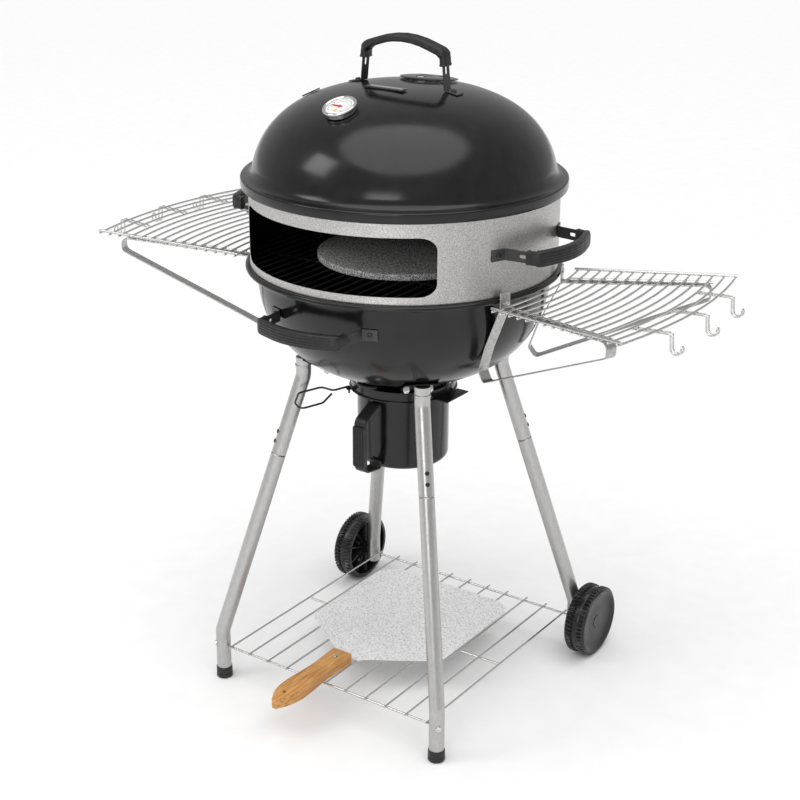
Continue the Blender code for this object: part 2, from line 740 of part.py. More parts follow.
def make_legs():
    upper = leg_upper_mesh()
    front = leg_lower_mesh(CAP_FLOOR + GAP)
    spread = {"front_right": -45.0, "front_left": -135.0, "rear_right": 45.0, "rear_left": 135.0}
    tube = material("satin tube", *SATIN)
    for corner, degrees in spread.items():
        piece("leg_upper_" + corner, upper, tube, None, turn_z(degrees))
        lower = front
        if corner == "rear_right":
            lower = leg_lower_mesh(REAR_LEG_END_Z, turn_z(-45.0).to_3x3() @ Vector((1, 0, 0)))
        if corner == "rear_left":
            lower = leg_lower_mesh(REAR_LEG_END_Z, turn_z(-135.0).to_3x3() @ Vector((-1, 0, 0)))
        piece("leg_lower_" + corner, lower, tube, None, turn_z(degrees))
    hole = LEG_R + GAP
    wall = hole + CAP_WALL
    profile = [
        (0.0, CAP_FLOOR), (hole, CAP_FLOOR), (hole, CAP_HIGH), (wall, CAP_HIGH),
        (wall, 0.0015), (wall - 0.0015, 0.0), (0.0, 0.0),
    ]
    cap = lathe(profile, 20, "foot")
    for corner, x in (("front_right", FOOT_X), ("front_left", -FOOT_X)):
        spot = Matrix.Translation((x, -FOOT_X, 0.0))
        piece("foot_cap_" + corner, cap, material("foot rubber", *PLASTIC), None, spot)


def make_rack():
    wires = []
    under = RACK_Z - RACK_WIRE - RACK_CROSS + WELD
    for index in range(RACK_WIRES):
        x = (index / (RACK_WIRES - 1.0) - 0.5) * RACK_WIDE
        back = RACK_LONG / 2.0 + RACK_OVERRUN
        wires.append(rod([(x, -back, RACK_Z), (x, back, RACK_Z)], RACK_WIRE, 6))
    for y in (-RACK_LONG / 2.0, 0.0, RACK_LONG / 2.0):
        offset = FOOT_X - abs(y)
        reach = RACK_WIDE / 2.0 + 0.003
        if abs(y) > 0.0:
            reach = FOOT_X - math.sqrt(LEG_R ** 2 - offset ** 2) - GAP * 2.0
        wires.append(rod([(-reach, y, under), (reach, y, under)], RACK_CROSS, 6))
    piece("bottom_rack", weld(wires), material("rack chrome", *CHROME))


# ---- wheels ----------------------------------------------------------------
def wheel_mesh():
    """A dished wheel about Z, its inner side at 0 and its closed outer side at the top."""
    radius, wide = WHEEL_R, WHEEL_WIDE
    bore = AXLE_R + RUN
    bore_end = WHEEL_WIDE * 0.78 + RUN
    profile = [
        (0.0, wide - 0.0055), (radius * 0.70, wide - 0.0050), (radius * 0.86, wide - 0.0005),
        (radius * 0.93, wide), (radius, wide - 0.0035), (radius, wide * 0.66), (radius - 0.0022, wide * 0.63),
        (radius - 0.0022, wide * 0.36), (radius, wide * 0.33), (radius, 0.0030), (radius - 0.0030, 0.0),
        (radius * 0.83, 0.0), (radius * 0.80, wide - 0.0130), (0.0140, wide - 0.0130), (0.0115, 0.0),
        (bore, 0.0), (bore, bore_end), (0.0, bore_end),
    ]
    return lathe(profile, 24, "wheel")


def make_wheels(left_frame, right_frame):
    mesh = wheel_mesh()
    for side, sign, parent in (("left", -1.0, left_frame), ("right", 1.0, right_frame)):
        point = (sign * WHEEL_IN_X, FOOT_X, WHEEL_R)
        place = Matrix.Translation(point) @ Matrix.Rotation(sign * math.pi / 2.0, 4, "Y")
        piece("wheel_" + side, mesh, material("wheel plastic", *PLASTIC), parent, place, 40.0)


# ---- ash catcher -----------------------------------------------------------
def make_collar():
    low, top = COLLAR_LOW_Z, COLLAR_TOP_Z
    inner = COLLAR_R - COLLAR_WALL
    profile = [
        (COLLAR_R + 0.0030, low), (inner - 0.0045, low), (inner - 0.0045, low + 0.0020),
        (inner, low + 0.0020), (inner, top), (COLLAR_R, top), (COLLAR_R, low + 0.0025),
        (COLLAR_R + 0.0030, low + 0.0025),
    ]
    parts = [lathe(profile, 28)]
    parts.append(box((COLLAR_R - 0.0010, -0.0350, low + 0.0005), (COLLAR_R + 0.0240, 0.0350, low + 0.0030)))
    for degrees in (0.0, 90.0, 180.0):
        reach = COLLAR_R - COLLAR_WALL / 2.0
        post_top = bowl_under(reach - 0.0045) - GAP
        post = disc(0.0045, low + 0.0040, post_top, 8)
        parts.append(moved(post, turn_z(degrees) @ Matrix.Translation((reach, 0.0, 0.0))))
    ear = box((COLLAR_R - 0.0010, -0.0070, low + 0.0040), (EAR_REACH + 0.0060, 0.0070, low + 0.0060))
    parts.append(moved(ear, turn_z(EAR_DEG)))
    pin_spot = turn_z(EAR_DEG) @ Matrix.Translation((EAR_REACH, 0.0, 0.0))
    hole = moved(disc(BAIL_WIRE + RUN, low, low + 0.0200, 12), pin_spot)
    collar = cut(weld(parts), [hole])
    piece("ash_collar", collar, material("collar enamel", *ENAMEL))


def make_pot(parent):
    flange_r = COLLAR_R - COLLAR_WALL - 0.0045 - 0.0010
    flange_r = min(flange_r, POT_R + POT_FLANGE)
    wall = POT_R - POT_WALL
    low = POT_LOW_Z
    outer = [(flange_r, POT_TOP_Z), (flange_r, POT_TOP_Z - 0.0020), (POT_R, POT_TOP_Z - 0.0020)]
    outer += [(POT_R, low + 0.0140), (POT_R - 0.0041, low + 0.0041), (POT_R - 0.0140, low), (0.0, low)]
    inner = [(wall, POT_TOP_Z), (wall, low + 0.0140), (wall - 0.0037, low + 0.0052)]
    inner += [(POT_R - 0.0140, low + POT_WALL), (0.0, low + POT_WALL)]
    pot = lathe(outer[::-1] + inner, 28, "pot")
    piece("ash_pot", pot, material("pot enamel", *ENAMEL), parent)

    seat = POT_R + GAP * 3.0
    reach = POT_HANDLE_REACH - 0.0080
    path = [
        (seat + 0.0025, 0.0, low + 0.0180), (seat + 0.0025, 0.0, low + 0.0040), (reach, 0.0, low + 0.0110),
        (reach, 0.0, low + 0.1080), (seat + 0.0025, 0.0, low + 0.1320), (seat + 0.0025, 0.0, low + 0.1180),
    ]
    rim = rounded([(x, 0.0, z) for x, _, z in path], [0.004, 0.014, 0.014, 0.004], 3)
    loop = ribbon(rim, 0.0050, POT_HANDLE_WIDE)
    grip = box(
        (reach - 0.0060, -POT_HANDLE_WIDE / 2.0, low + 0.0200),
        (reach + 0.0080, POT_HANDLE_WIDE / 2.0, low + 0.1000),
    )
    handle = weld([loop, grip])
    piece("ash_pot_handle", handle, material("pot handle", *PLASTIC), parent, turn_z(-90.0), 50.0)


def make_sweeper(parent):
    """The lever under the bowl, its shaft through the vent, and the three blades inside."""
    shaft = disc(0.0090, LEVER_Z - 0.0010, bowl_under(VENT_R) + SHELL + 0.0070, 12)
    parts = [shaft]
    for degrees in (30.0, 150.0, 270.0):
        inner_z = bowl_under(VENT_R) + SHELL + 0.0045
        tip_r = 0.1150
        tip_z = bowl_under(tip_r) + SHELL + 0.0035
        mid_r = 0.0850
        mid_z = bowl_under(mid_r) + SHELL + 0.0035
        path = [(0.004, 0.0, inner_z), (VENT_R, 0.0, inner_z), (mid_r, 0.0, mid_z), (tip_r, 0.0, tip_z)]
        blade = ribbon(path, 0.0018, 0.0240)
        parts.append(moved(blade, turn_z(degrees)))
    arm = ribbon([(0.004, 0.0, LEVER_Z), (KNOB_REACH - 0.0020, 0.0, LEVER_Z)], 0.0020, 0.0120)
    parts.append(moved(arm, turn_z(LEVER_DEG)))
    piece("ash_sweeper", weld(parts), material("sweeper steel", *SATIN), parent)
    steps = 16
    outline = []
    for index in range(steps):
        angle = math.tau * index / steps
        outline.append((0.0115 * math.cos(angle), 0.0230 * math.sin(angle)))
    low, high = LEVER_Z + 0.0010 + GAP, LEVER_Z + 0.0085
    sizes = ((0.80, low), (1.0, low + 0.0020), (1.0, high - 0.0020), (0.80, high))
    rings = [[Vector((KNOB_REACH - 0.004 + x * size, y * size, z)) for x, y in outline] for size, z in sizes]
    piece("lever_knob", loft(rings), material("knob plastic", *PLASTIC), parent, turn_z(LEVER_DEG), 50.0)


def make_bail(parent):
    """A bent wire latch that turns on an upright pin in the collar's ear."""
    start = turn_z(EAR_DEG) @ Vector((EAR_REACH, 0.0, 0.0))
    level = COLLAR_LOW_Z + 0.0060 + BAIL_WIRE * 1.4 + GAP
    run = [
        (-0.0720, -0.1190), (-0.1000, -0.1180), (-0.1150, -0.1660), (-0.0900, -0.2080),
        (-0.0640, -0.2260), (-0.0500, -0.1790), (-0.0640, -0.1350),
    ]
    points = [(start.x, start.y, COLLAR_LOW_Z - 0.0040), (start.x, start.y, level)]
    points += [(x, y, level) for x, y in run]
    radii = [BAIL_WIRE * 1.3, 0.008, 0.008, 0.014, 0.014, 0.009, 0.012]
    path = rounded(points, radii, 2)
    piece("latch_bail", rod(path, BAIL_WIRE, 6), material("bail wire", (0.12, 0.12, 0.12), 0.35, 1.0), parent)


# ---- side trays ------------------------------------------------------------
def tray_z(x):
    return TRAY_Z + TRAY_TILT * (x - TRAY_INNER_X)


def edge_y(x):
    return TRAY_INNER_Y + TRAY_EDGE_SLOPE * (x - TRAY_INNER_X)


def arc_end(radius):
    """The x where an arc about the tray's centre meets its edge wire."""
    slope = TRAY_EDGE_SLOPE
    base = TRAY_INNER_Y - slope * TRAY_INNER_X
    a = 1.0 + slope * slope
    b = 2.0 * (slope * base - TRAY_ARC_X)
    c = TRAY_ARC_X ** 2 + base * base - radius * radius
    return (-b + math.sqrt(b * b - 4.0 * a * c)) / (2.0 * a)


def tray_mesh(sign):
    wires = []
    outer = TRAY_INNER_R + TRAY_PITCH * (TRAY_WIRES - 1)
    for index in range(TRAY_WIRES):
        radius = TRAY_INNER_R + TRAY_PITCH * index
        x_end = arc_end(radius)
        half = math.asin(edge_y(x_end) / radius) + TRAY_OVERRUN / radius
        path = []
        for step in range(5):
            angle = half * (step / 2.0 - 1.0)
            x = TRAY_ARC_X + radius * math.cos(angle)
            path.append((sign * x, radius * math.sin(angle), tray_z(x)))
        wires.append(rod(path, TRAY_WIRE, 5))
    rise = TRAY_WIRE + TRAY_EDGE_WIRE - WELD
    for side in (-1.0, 1.0):
        ends = []
        for x in (arc_end(TRAY_INNER_R) - 0.005, arc_end(outer) + 0.004):
            ends.append((sign * x, side * edge_y(x), tray_z(x) + rise))
        wires.append(rod(ends, TRAY_EDGE_WIRE, 5))
        ends = []
        for reach in (TRAY_ARC_X + TRAY_INNER_R + 0.005, BRACKET_OUT + 0.002):
            x = reach * math.cos(math.radians(BRACKET_DEG))
            y = reach * math.sin(math.radians(BRACKET_DEG))
            ends.append((sign * x, side * y, tray_z(x) - rise))
        wires.append(rod(ends, TRAY_EDGE_WIRE, 5))
    return weld(wires)


def bracket_mesh():
    """A strap bent into a closed triangle in XZ, with a tail up the side of the rim."""
    turn = math.cos(math.radians(BRACKET_DEG))
    under = TRAY_WIRE + TRAY_EDGE_WIRE * 2.0 - WELD + GAP * 2.0 + STRAP / 2.0
    inner_r = BOWL_R + RIM_OUT + 0.0021 + STRAP / 2.0
    inner_z = tray_z(inner_r * turn) - under
    outer_z = tray_z(BRACKET_OUT * turn) - under
    touch_z = BOWL_RIM_Z - 0.0843
    touch_r = bowl_radius(touch_z) + GAP + STRAP * 0.75
    low_r, low_z = BOWL_R - 0.0296, BOWL_RIM_Z - 0.1479
    low_r = max(low_r, bowl_radius(low_z) + 0.0060)
    corners = [
        (inner_r, 0.0, inner_z), (BRACKET_OUT, 0.0, outer_z), (BRACKET_OUT, 0.0, outer_z - BRACKET_DROP),
        (low_r + 0.0130, 0.0, low_z), (low_r, 0.0, low_z + 0.0180), (touch_r, 0.0, touch_z),
        (inner_r, 0.0, inner_z),
    ]
    start = Vector(corners[0]).lerp(Vector(corners[1]), 0.5)
    path = rounded([start, *corners[1:], start], [0.0115, 0.0115, 0.0080, 0.0080, 0.0300, 0.0030], 3)
    loop = ribbon(path[:-1], STRAP, BRACKET_WIDE, closed=True)
    upright = [(inner_r, 0.0, inner_z - 0.0004), (inner_r, 0.0, inner_z + BRACKET_TAIL)]
    tail = ribbon(upright, STRAP, BRACKET_WIDE)
    return weld([loop, tail])


def hook_mesh():
    """A hairpin of wire bent into a J, its stems along X."""
    far = HOOK_OUT + 0.0180
    half = HOOK_HALF
    one = [
        (-0.0450, half, 0.0), (HOOK_OUT, half, 0.0), (HOOK_OUT, half, -HOOK_DROP),
        (far, half, -HOOK_DROP), (far, half, -HOOK_DROP + 0.0130),
    ]
    two = [(x, -y, z) for x, y, z in reversed(one)]
    radii = [0.0040, 0.0075, 0.0075, half * 0.9, half * 0.9, 0.0075, 0.0075, 0.0040]
    return rod(rounded(one + two, radii, 2), HOOK_WIRE, 5)


def make_trays():
    chrome = material("tray chrome", *CHROME)
    strap = material("bracket steel", *GREY_STRAP)
    bracket = bracket_mesh()
    hook = hook_mesh()
    outer = TRAY_INNER_R + TRAY_PITCH * (TRAY_WIRES - 1)
    for side, sign in (("right", 1.0), ("left", -1.0)):
        piece("tray_" + side, tray_mesh(sign), chrome)
        base = 0.0 if sign > 0.0 else 180.0
        for end, degrees in (("front", -BRACKET_DEG * sign), ("rear", BRACKET_DEG * sign)):
            piece("bracket_{}_{}".format(side, end), bracket, strap, None, turn_z(base + degrees))
        for end, y in (("front", -HOOK_Y), ("middle", 0.0), ("rear", HOOK_Y)):
            x = TRAY_ARC_X + math.sqrt(outer * outer - y * y)
            lower = TRAY_WIRE + HOOK_WIRE + GAP
            spot = Matrix.Translation((sign * x, y, tray_z(x) - lower))
            tilt = Matrix.Rotation(-math.atan(TRAY_TILT), 4, "Y")
            place = spot @ turn_z(base) @ tilt
            piece("hook_{}_{}".format(side, end), hook, chrome, None, place)


# ---- lid fittings ----------------------------------------------------------
def make_lid_fittings(lid_frame, damper_frame, needle_frame):
    place = dome_place(THERMO_REACH, THERMO_DEG, GAP)
    r, high = THERMO_R, THERMO_HIGH
    profile = [
        (0.0, 0.0), (r - 0.0020, 0.0), (r - 0.0020, high * 0.45), (r, high * 0.55), (r, high - 0.0020),
        (r - 0.0025, high), (r - 0.0045, high - 0.0006), (r - 0.0050, high - 0.0040), (0.0, high - 0.0040),
    ]
    piece("thermometer_bezel", lathe(profile, 24), material("bezel chrome", *CHROME), lid_frame, place)
    face = disc(r - 0.0050 - GAP, high - 0.0040 + GAP, high - 0.0030, 24)
    piece("thermometer_dial", face, material("dial white", (0.80, 0.80, 0.78), 0.4, 0.0), lid_frame, place)
    low = high - 0.0030 + GAP
    hub = disc(0.0030, low, low + 0.0012, 10)
    hand = box((-0.0180, -0.0011, low + 0.0002), (0.0060, 0.0011, low + 0.0010))
    red = material("needle red", (0.65, 0.02, 0.02), 0.4, 0.0)
    piece("thermometer_needle", weld([hub, hand]), red, needle_frame, place)

    spot = dome_place(DAMPER_Y, 90.0, 0.0)
    rim = DAMPER_R
    lift = 0.0012
    profile = [
        (0.0, lift + 0.0046), (rim * 0.45, lift + 0.0041), (rim * 0.80, lift + 0.0026),
        (rim - 0.0015, lift + 0.0014), (rim, lift), (rim - 0.0030, lift - 0.0004),
        (rim * 0.80, lift + 0.0010), (rim * 0.45, lift + 0.0025), (0.0, lift + 0.0030),
    ]
    cap = lathe(profile, 24)
    holes = []
    for index in range(3):
        where = turn_z(120.0 * index + 90.0) @ Matrix.Translation((0.026, 0.0, 0.0))
        holes.append(moved(disc(0.0095, -0.02, 0.02, 8), where))
    cap = cut(cap, holes)
    piece("lid_damper", cap, material("damper enamel", *ENAMEL), damper_frame, spot)

    tilt = dome_slope(BADGE_Y)
    top = dome_height(BADGE_Y) + BADGE_SEAT
    plate = box((-BADGE_LONG / 2.0, -BADGE_WIDE / 2.0, 0.0), (BADGE_LONG / 2.0, BADGE_WIDE / 2.0, 0.0020))
    place = Matrix.Translation((0.0, -BADGE_Y, top)) @ Matrix.Rotation(tilt, 4, "X")
    piece("lid_badge", plate, material("badge plate", (0.05, 0.05, 0.05), 0.3, 0.8), lid_frame, place)

    place = dome_place(CLIP_REACH, CLIP_DEG, GAP)
    clip = box((-0.0100, -0.0150, 0.0), (0.0100, 0.0150, 0.0025))
    piece("lid_clip", clip, material("clip black", *PLASTIC), lid_frame, place)


# ---- peel ------------------------------------------------------------------
def make_peel(parent):
    x0 = PEEL_X
    half = PEEL_HALF
    lift = (PEEL_HANDLE_THICK - PEEL_SHEET) / 2.0
    right = [
        (0.0, PEEL_BACK_Y), (half, PEEL_BACK_Y), (half, PEEL_SHOULDER_Y),
        (PEEL_NECK, PEEL_NECK_Y), (PEEL_NECK, PEEL_NECK_Y - 0.001),
    ]
    curve = rounded([(x, y, 0.0) for x, y in right], [PEEL_CORNER, 0.030, 0.012], 4)[:-1]
    neck_y = curve[-1].y
    bm = bmesh.new()
    points = list(curve)
    mirrored = [Vector((-point.x, point.y, 0.0)) for point in reversed(points)][:-1]
    outline = [bm.verts.new((x0 + point.x, point.y, PEEL_LOW_Z)) for point in points + mirrored]
    bm.faces.new(outline[::-1])
    right_neck, left_neck = outline[len(points) - 1], outline[len(points)]
    tang_half = PEEL_NECK * 0.62
    rows = [(left_neck, right_neck)]
    for y, z in ((neck_y - 0.012, lift), (neck_y - 0.060, lift)):
        left = bm.verts.new((x0 - tang_half, y, PEEL_LOW_Z + z))
        rows.append((left, bm.verts.new((x0 + tang_half, y, PEEL_LOW_Z + z))))
    for near, far in zip(rows, rows[1:]):
        bm.faces.new((near[0], near[1], far[1], far[0]))
    bmesh.ops.recalc_face_normals(bm, faces=bm.faces)
    bmesh.ops.solidify(bm, geom=bm.faces[:], thickness=-PEEL_SHEET)
    blade = finish_mesh(bm, "blade")
    rivet_y = neck_y - 0.0360
    hole = moved(disc(RIVET_R + RUN, -0.03, 0.03, 12), Matrix.Translation((x0, rivet_y, PEEL_LOW_Z)))
    blade = cut(blade, [hole.copy()])
    piece("peel_blade", blade, material("peel aluminium", (0.75, 0.75, 0.74), 0.35, 1.0), parent)

    start = neck_y - 0.0140
    end = PEEL_HANDLE_END_Y
    spans = [
        (start, 0.0195), (start - 0.004, 0.0215), (start - 0.020, 0.0213), (start - 0.050, 0.0196),
        (start - 0.080, 0.0190), (end + 0.098, 0.0212), (end + 0.065, 0.0232), (end + 0.045, 0.0222),
        (end + 0.025, 0.0176), (end + 0.010, 0.0108), (end, 0.0050),
    ]
    rings = []
    thick = PEEL_HANDLE_THICK
    for y, wide in spans:
        edge = min(0.0015, wide / 4.0)
        low = PEEL_LOW_Z
        ring = [
            (wide - edge, low), (wide, low + edge), (wide, low + thick - edge), (wide - edge, low + thick),
            (edge - wide, low + thick), (-wide, low + thick - edge), (-wide, low + edge), (edge - wide, low),
        ]
        rings.append([Vector((x0 + x, y, z)) for x, z in ring])
    wood = loft(rings)
    slot_low = PEEL_LOW_Z + lift - GAP
    slot = box(
        (x0 - tang_half - GAP, neck_y - 0.060 - GAP, slot_low),
        (x0 + tang_half + GAP, start + 0.010, slot_low + PEEL_SHEET + GAP * 2.0),
    )
    ring_hole = moved(disc(0.0040, -0.03, 0.03, 12), Matrix.Translation((x0, end + 0.030, PEEL_LOW_Z)))
    wood = cut(wood, [slot, hole, ring_hole])
    piece("peel_handle", wood, material("peel wood", *WOOD), parent, None, 50.0)

    low, high = PEEL_LOW_Z, PEEL_LOW_Z + thick
    rivet = lathe(
        [
            (0.0, high + 0.0016), (0.0035, high + 0.0015), (0.0052, high + GAP), (RIVET_R, high + GAP),
            (RIVET_R, low + GAP), (0.0, low + GAP),
        ],
        12,
    )
    piece("peel_rivet", rivet, material("rivet", *CHROME), parent, Matrix.Translation((x0, rivet_y, 0.0)))


def main():
    for old in list(bpy.data.objects):
        bpy.data.objects.remove(old, do_unlink=True)
    ring_frame = pivot("ring_lift_axis", (0.0, 0.0, RING_LOW_Z))
    lid_frame = pivot("lid_lift_axis", (0.0, 0.0, LID_SEAT_Z))
    grate_frame = pivot("grate_lift_axis", (0.0, 0.0, GRATE_Z))
    stone_frame = pivot("stone_lift_axis", (0.0, 0.0, STONE_LOW_Z))
    coal_frame = pivot("coal_lift_axis", (0.0, 0.0, COAL_Z))
    damper_frame = pivot("damper_axis", dome_place(DAMPER_Y, 90.0, 0.0).translation)
    needle_frame = pivot("needle_axis", dome_place(THERMO_REACH, THERMO_DEG, GAP).translation)
    pot_frame = pivot("pot_drop_axis", (0.0, 0.0, POT_TOP_Z))
    sweeper_frame = pivot("sweeper_axis", (0.0, 0.0, LEVER_Z))
    bail_frame = pivot("bail_axis", turn_z(EAR_DEG) @ Vector((EAR_REACH, 0.0, COLLAR_LOW_Z)))
    left_frame = pivot("left_wheel_axis", (-WHEEL_IN_X, FOOT_X, WHEEL_R))
    right_frame = pivot("right_wheel_axis", (WHEEL_IN_X, FOOT_X, WHEEL_R))
    peel_frame = pivot("peel_slide_axis", (PEEL_X, 0.0, PEEL_LOW_Z))
    make_bowl()
    make_ring(ring_frame)
    make_lid(lid_frame)
    make_handles(lid_frame, ring_frame)
    make_inside(grate_frame, stone_frame, coal_frame)
    make_legs()
    make_rack()
    make_wheels(left_frame, right_frame)
    make_collar()
    make_pot(pot_frame)
    make_sweeper(sweeper_frame)
    make_bail(bail_frame)
    make_trays()
    make_lid_fittings(lid_frame, damper_frame, needle_frame)
    make_peel(peel_frame)


main()
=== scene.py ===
"""Looks of the kettle charcoal grill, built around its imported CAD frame. Metres, +Z up, front at -Y."""
from math import acos, asin, atan, atan2, cos, hypot, pi, radians, sin, sqrt, tan, tau

import bmesh
import bpy
from mathutils import Matrix, Vector


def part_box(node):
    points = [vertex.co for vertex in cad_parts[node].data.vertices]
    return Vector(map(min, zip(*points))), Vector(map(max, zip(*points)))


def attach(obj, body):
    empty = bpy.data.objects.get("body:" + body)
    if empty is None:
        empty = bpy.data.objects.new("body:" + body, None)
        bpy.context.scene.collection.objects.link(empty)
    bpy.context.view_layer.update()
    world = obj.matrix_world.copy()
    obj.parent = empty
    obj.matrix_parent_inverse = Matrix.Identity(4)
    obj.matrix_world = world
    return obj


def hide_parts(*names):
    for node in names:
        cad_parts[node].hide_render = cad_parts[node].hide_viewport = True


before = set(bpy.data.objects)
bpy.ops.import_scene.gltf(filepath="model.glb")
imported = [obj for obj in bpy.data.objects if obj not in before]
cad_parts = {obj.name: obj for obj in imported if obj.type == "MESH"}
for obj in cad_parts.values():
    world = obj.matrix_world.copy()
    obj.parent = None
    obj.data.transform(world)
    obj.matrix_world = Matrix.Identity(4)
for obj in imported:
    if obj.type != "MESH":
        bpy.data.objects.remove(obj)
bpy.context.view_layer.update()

# Sizes shared with the CAD solids.
BOWL = (0.2626, 0.2017, 2.405, 2.282)  # rim radius, depth, curve powers
DOME = (0.2718, 0.1978, 2.52)
SHELL = 0.0020
RING_R = 0.2750
STRAP = 0.0020
STRAP_WIDE = 0.0200
TAB = (0.0870, 0.0270)  # where a handle's foot bends, and the foot's length
SHOULDER = (0.0810, 0.0625)
CROWN_UP = 0.0810
LEG_R = 0.0140
LEG_TOP = (0.1845, 0.6140)  # reach and height of the upper bend
LEG_KNEE = (0.3495, 0.1008)
SEAM_Z = 0.4610
TRAY_CENTRE_X = -0.3100
TRAY_INNER_R = 0.6030
TRAY_PITCH = 0.0197
TRAY_WIRES = 15
TRAY_ROOT = (0.2771, 0.1408, 0.8151)  # x, half width and height where the tray's plane begins
TRAY_RISE = 0.0636
TRAY_FLARE = 0.2722
BRACKET_DEG = 19.5
BRACKET_OUT = 0.5455
BRACKET_TOUCH_Z = 0.7276
MOUTH_DEG = 46.0  # half of the ring's opening
MOUTH_UP = 0.0140
MOUTH_HIGH = 0.1000
BASE_VENT_R = 0.045
SADDLE_REACH = 0.160
RACK_SPAN = 0.4537
RACK_CROSS_Y = 0.2438
COLLAR_R = 0.0970
POT_R = 0.0850
EAR_DEG = -126.0  # round the collar, to the ear that the bail hangs from
ARM_DEG = -95.0
KNOB_REACH = 0.102
DAMPER_REACH = 0.0740
DAMPER_R = 0.0520
VENT_HOLE_R = 0.0095
VENT_HOLE_OUT = 0.026
DIAL_R = 0.0300
BADGE_REACH = 0.0580

# The viewpoint, in degrees, metres and millimetres.
CAMERA_TURN = 34.70
CAMERA_SPOT = (2.7473, 1.6288)  # distance along the floor, and height
CAMERA_AIM = (34.826, 90.0 - 21.41, 0.28)
CAMERA_LENS = 71.56


# ---- materials -------------------------------------------------------------
def noise(tree, scale, stretch=(1.0, 1.0, 1.0), detail=4.0):
    """Noise in the piece's own space, so that it moves with the piece."""
    coords = tree.nodes.new("ShaderNodeTexCoord")
    mapping = tree.nodes.new("ShaderNodeMapping")
    mapping.inputs["Scale"].default_value = stretch
    texture = tree.nodes.new("ShaderNodeTexNoise")
    texture.inputs["Scale"].default_value = scale
    texture.inputs["Detail"].default_value = detail
    tree.links.new(coords.outputs["Object"], mapping.inputs["Vector"])
    tree.links.new(mapping.outputs["Vector"], texture.inputs["Vector"])
    return texture.outputs["Fac"]


def ramp(tree, source, stops):
    made = tree.nodes.new("ShaderNodeValToRGB")
    points = made.color_ramp.elements
    while len(points) < len(stops):
        points.new(0.5)
    for point, (place, colour) in zip(points, stops):
        point.position = place
        point.color = (*colour, 1.0)
    tree.links.new(source, made.inputs["Fac"])
    return made.outputs["Color"]


def spread(tree, source, low, high):
    made = tree.nodes.new("ShaderNodeMapRange")
    made.inputs["From Min"].default_value = 0.3
    made.inputs["From Max"].default_value = 0.7
    made.inputs["To Min"].default_value = low
    made.inputs["To Max"].default_value = high
    tree.links.new(source, made.inputs["Value"])
    return made.outputs["Result"]


def mix(tree, factor, first, second):
    made = tree.nodes.new("ShaderNodeMix")
    made.data_type = "RGBA"
    tree.links.new(factor, made.inputs[0])
    tree.links.new(first, made.inputs[6])
    made.inputs[7].default_value = (*second, 1.0)
    return made.outputs[2]


def finish(
    name, stops, rough, grain, stretch=(1.0, 1.0, 1.0), metal=0.0, shine=0.5, bump=None, worn=None,
):
    """A surface whose colour, roughness and relief come from noise at the material's own scale."""
    made = bpy.data.materials.new(name)
    made.use_nodes = True
    tree = made.node_tree
    surface = tree.nodes["Principled BSDF"]
    surface.inputs["Metallic"].default_value = metal
    surface.inputs["Specular IOR Level"].default_value = shine
    colour = ramp(tree, noise(tree, grain, stretch, 6.0), stops)
    if worn:
        edge = tree.nodes.new("ShaderNodeNewGeometry").outputs["Pointiness"]
        keep = ramp(tree, edge, [(0.53, (0.0, 0.0, 0.0)), (0.62, (0.7, 0.7, 0.7))])
        colour = mix(tree, keep, colour, worn)
    tree.links.new(colour, surface.inputs["Base Color"])
    tree.links.new(spread(tree, noise(tree, grain * 0.35, stretch), *rough), surface.inputs["Roughness"])
    if bump:
        scale, height = bump
        relief = tree.nodes.new("ShaderNodeBump")
        relief.inputs["Strength"].default_value = 1.0
        relief.inputs["Distance"].default_value = height
        tree.links.new(noise(tree, scale, stretch), relief.inputs["Height"])
        tree.links.new(relief.outputs["Normal"], surface.inputs["Normal"])
    return made


def grey(level, tint=0.0):
    return (level + tint, level, level - tint)


def two(dark, light, tint=0.0):
    return [(0.35, grey(dark, tint)), (0.65, grey(light, tint))]


ENAMEL = finish("black_enamel", two(0.004, 0.008), (0.15, 0.21), 40.0, shine=0.40, bump=(420.0, 0.00002))
INNER_DARK = finish("dark_inside", two(0.006, 0.016), (0.35, 0.55), 60.0, shine=0.40, bump=(300.0, 0.00006))
PLASTIC = finish(
    "black_plastic", two(0.007, 0.013), (0.34, 0.48), 160.0,
    shine=0.40, bump=(1600.0, 0.00005), worn=grey(0.035),
)
TYRE = finish(
    "wheel_plastic", two(0.006, 0.012), (0.20, 0.34), 120.0,
    shine=0.45, bump=(900.0, 0.00003), worn=grey(0.035),
)
RING_STEEL = finish(
    "mottled_steel",
    [(0.36, grey(0.36, 0.010)), (0.50, grey(0.50, 0.010)), (0.64, grey(0.63, 0.010))],
    (0.34, 0.46), 520.0, metal=0.92, bump=(620.0, 0.00005),
)
TUBE = finish(
    "satin_tube", two(0.44, 0.50, 0.004), (0.28, 0.36), 320.0, (1.0, 1.0, 0.20), 0.94, bump=(900.0, 0.00002),
)
STRAP_STEEL = finish(
    "strap_steel", two(0.36, 0.52, 0.004), (0.26, 0.40), 260.0, metal=0.95, bump=(700.0, 0.00003),
)
CHROME = finish("chrome_wire", two(0.50, 0.68, 0.004), (0.14, 0.26), 300.0, metal=1.0, bump=(1200.0, 0.00001))
BRIGHT = finish(
    "bright_steel", two(0.62, 0.78, 0.003), (0.10, 0.20), 300.0, metal=1.0, bump=(1500.0, 0.00001),
)
BLACK_STRAP = finish(
    "black_strap", two(0.008, 0.016), (0.28, 0.42), 220.0, shine=0.45, bump=(900.0, 0.00003), worn=grey(0.06),
)
DARK_WIRE = finish("dark_wire", two(0.020, 0.055), (0.35, 0.55), 260.0, metal=0.6, bump=(900.0, 0.00005))
BAIL_STEEL = finish("bail_wire", two(0.03, 0.08), (0.25, 0.40), 260.0, metal=0.8, bump=(900.0, 0.00003))
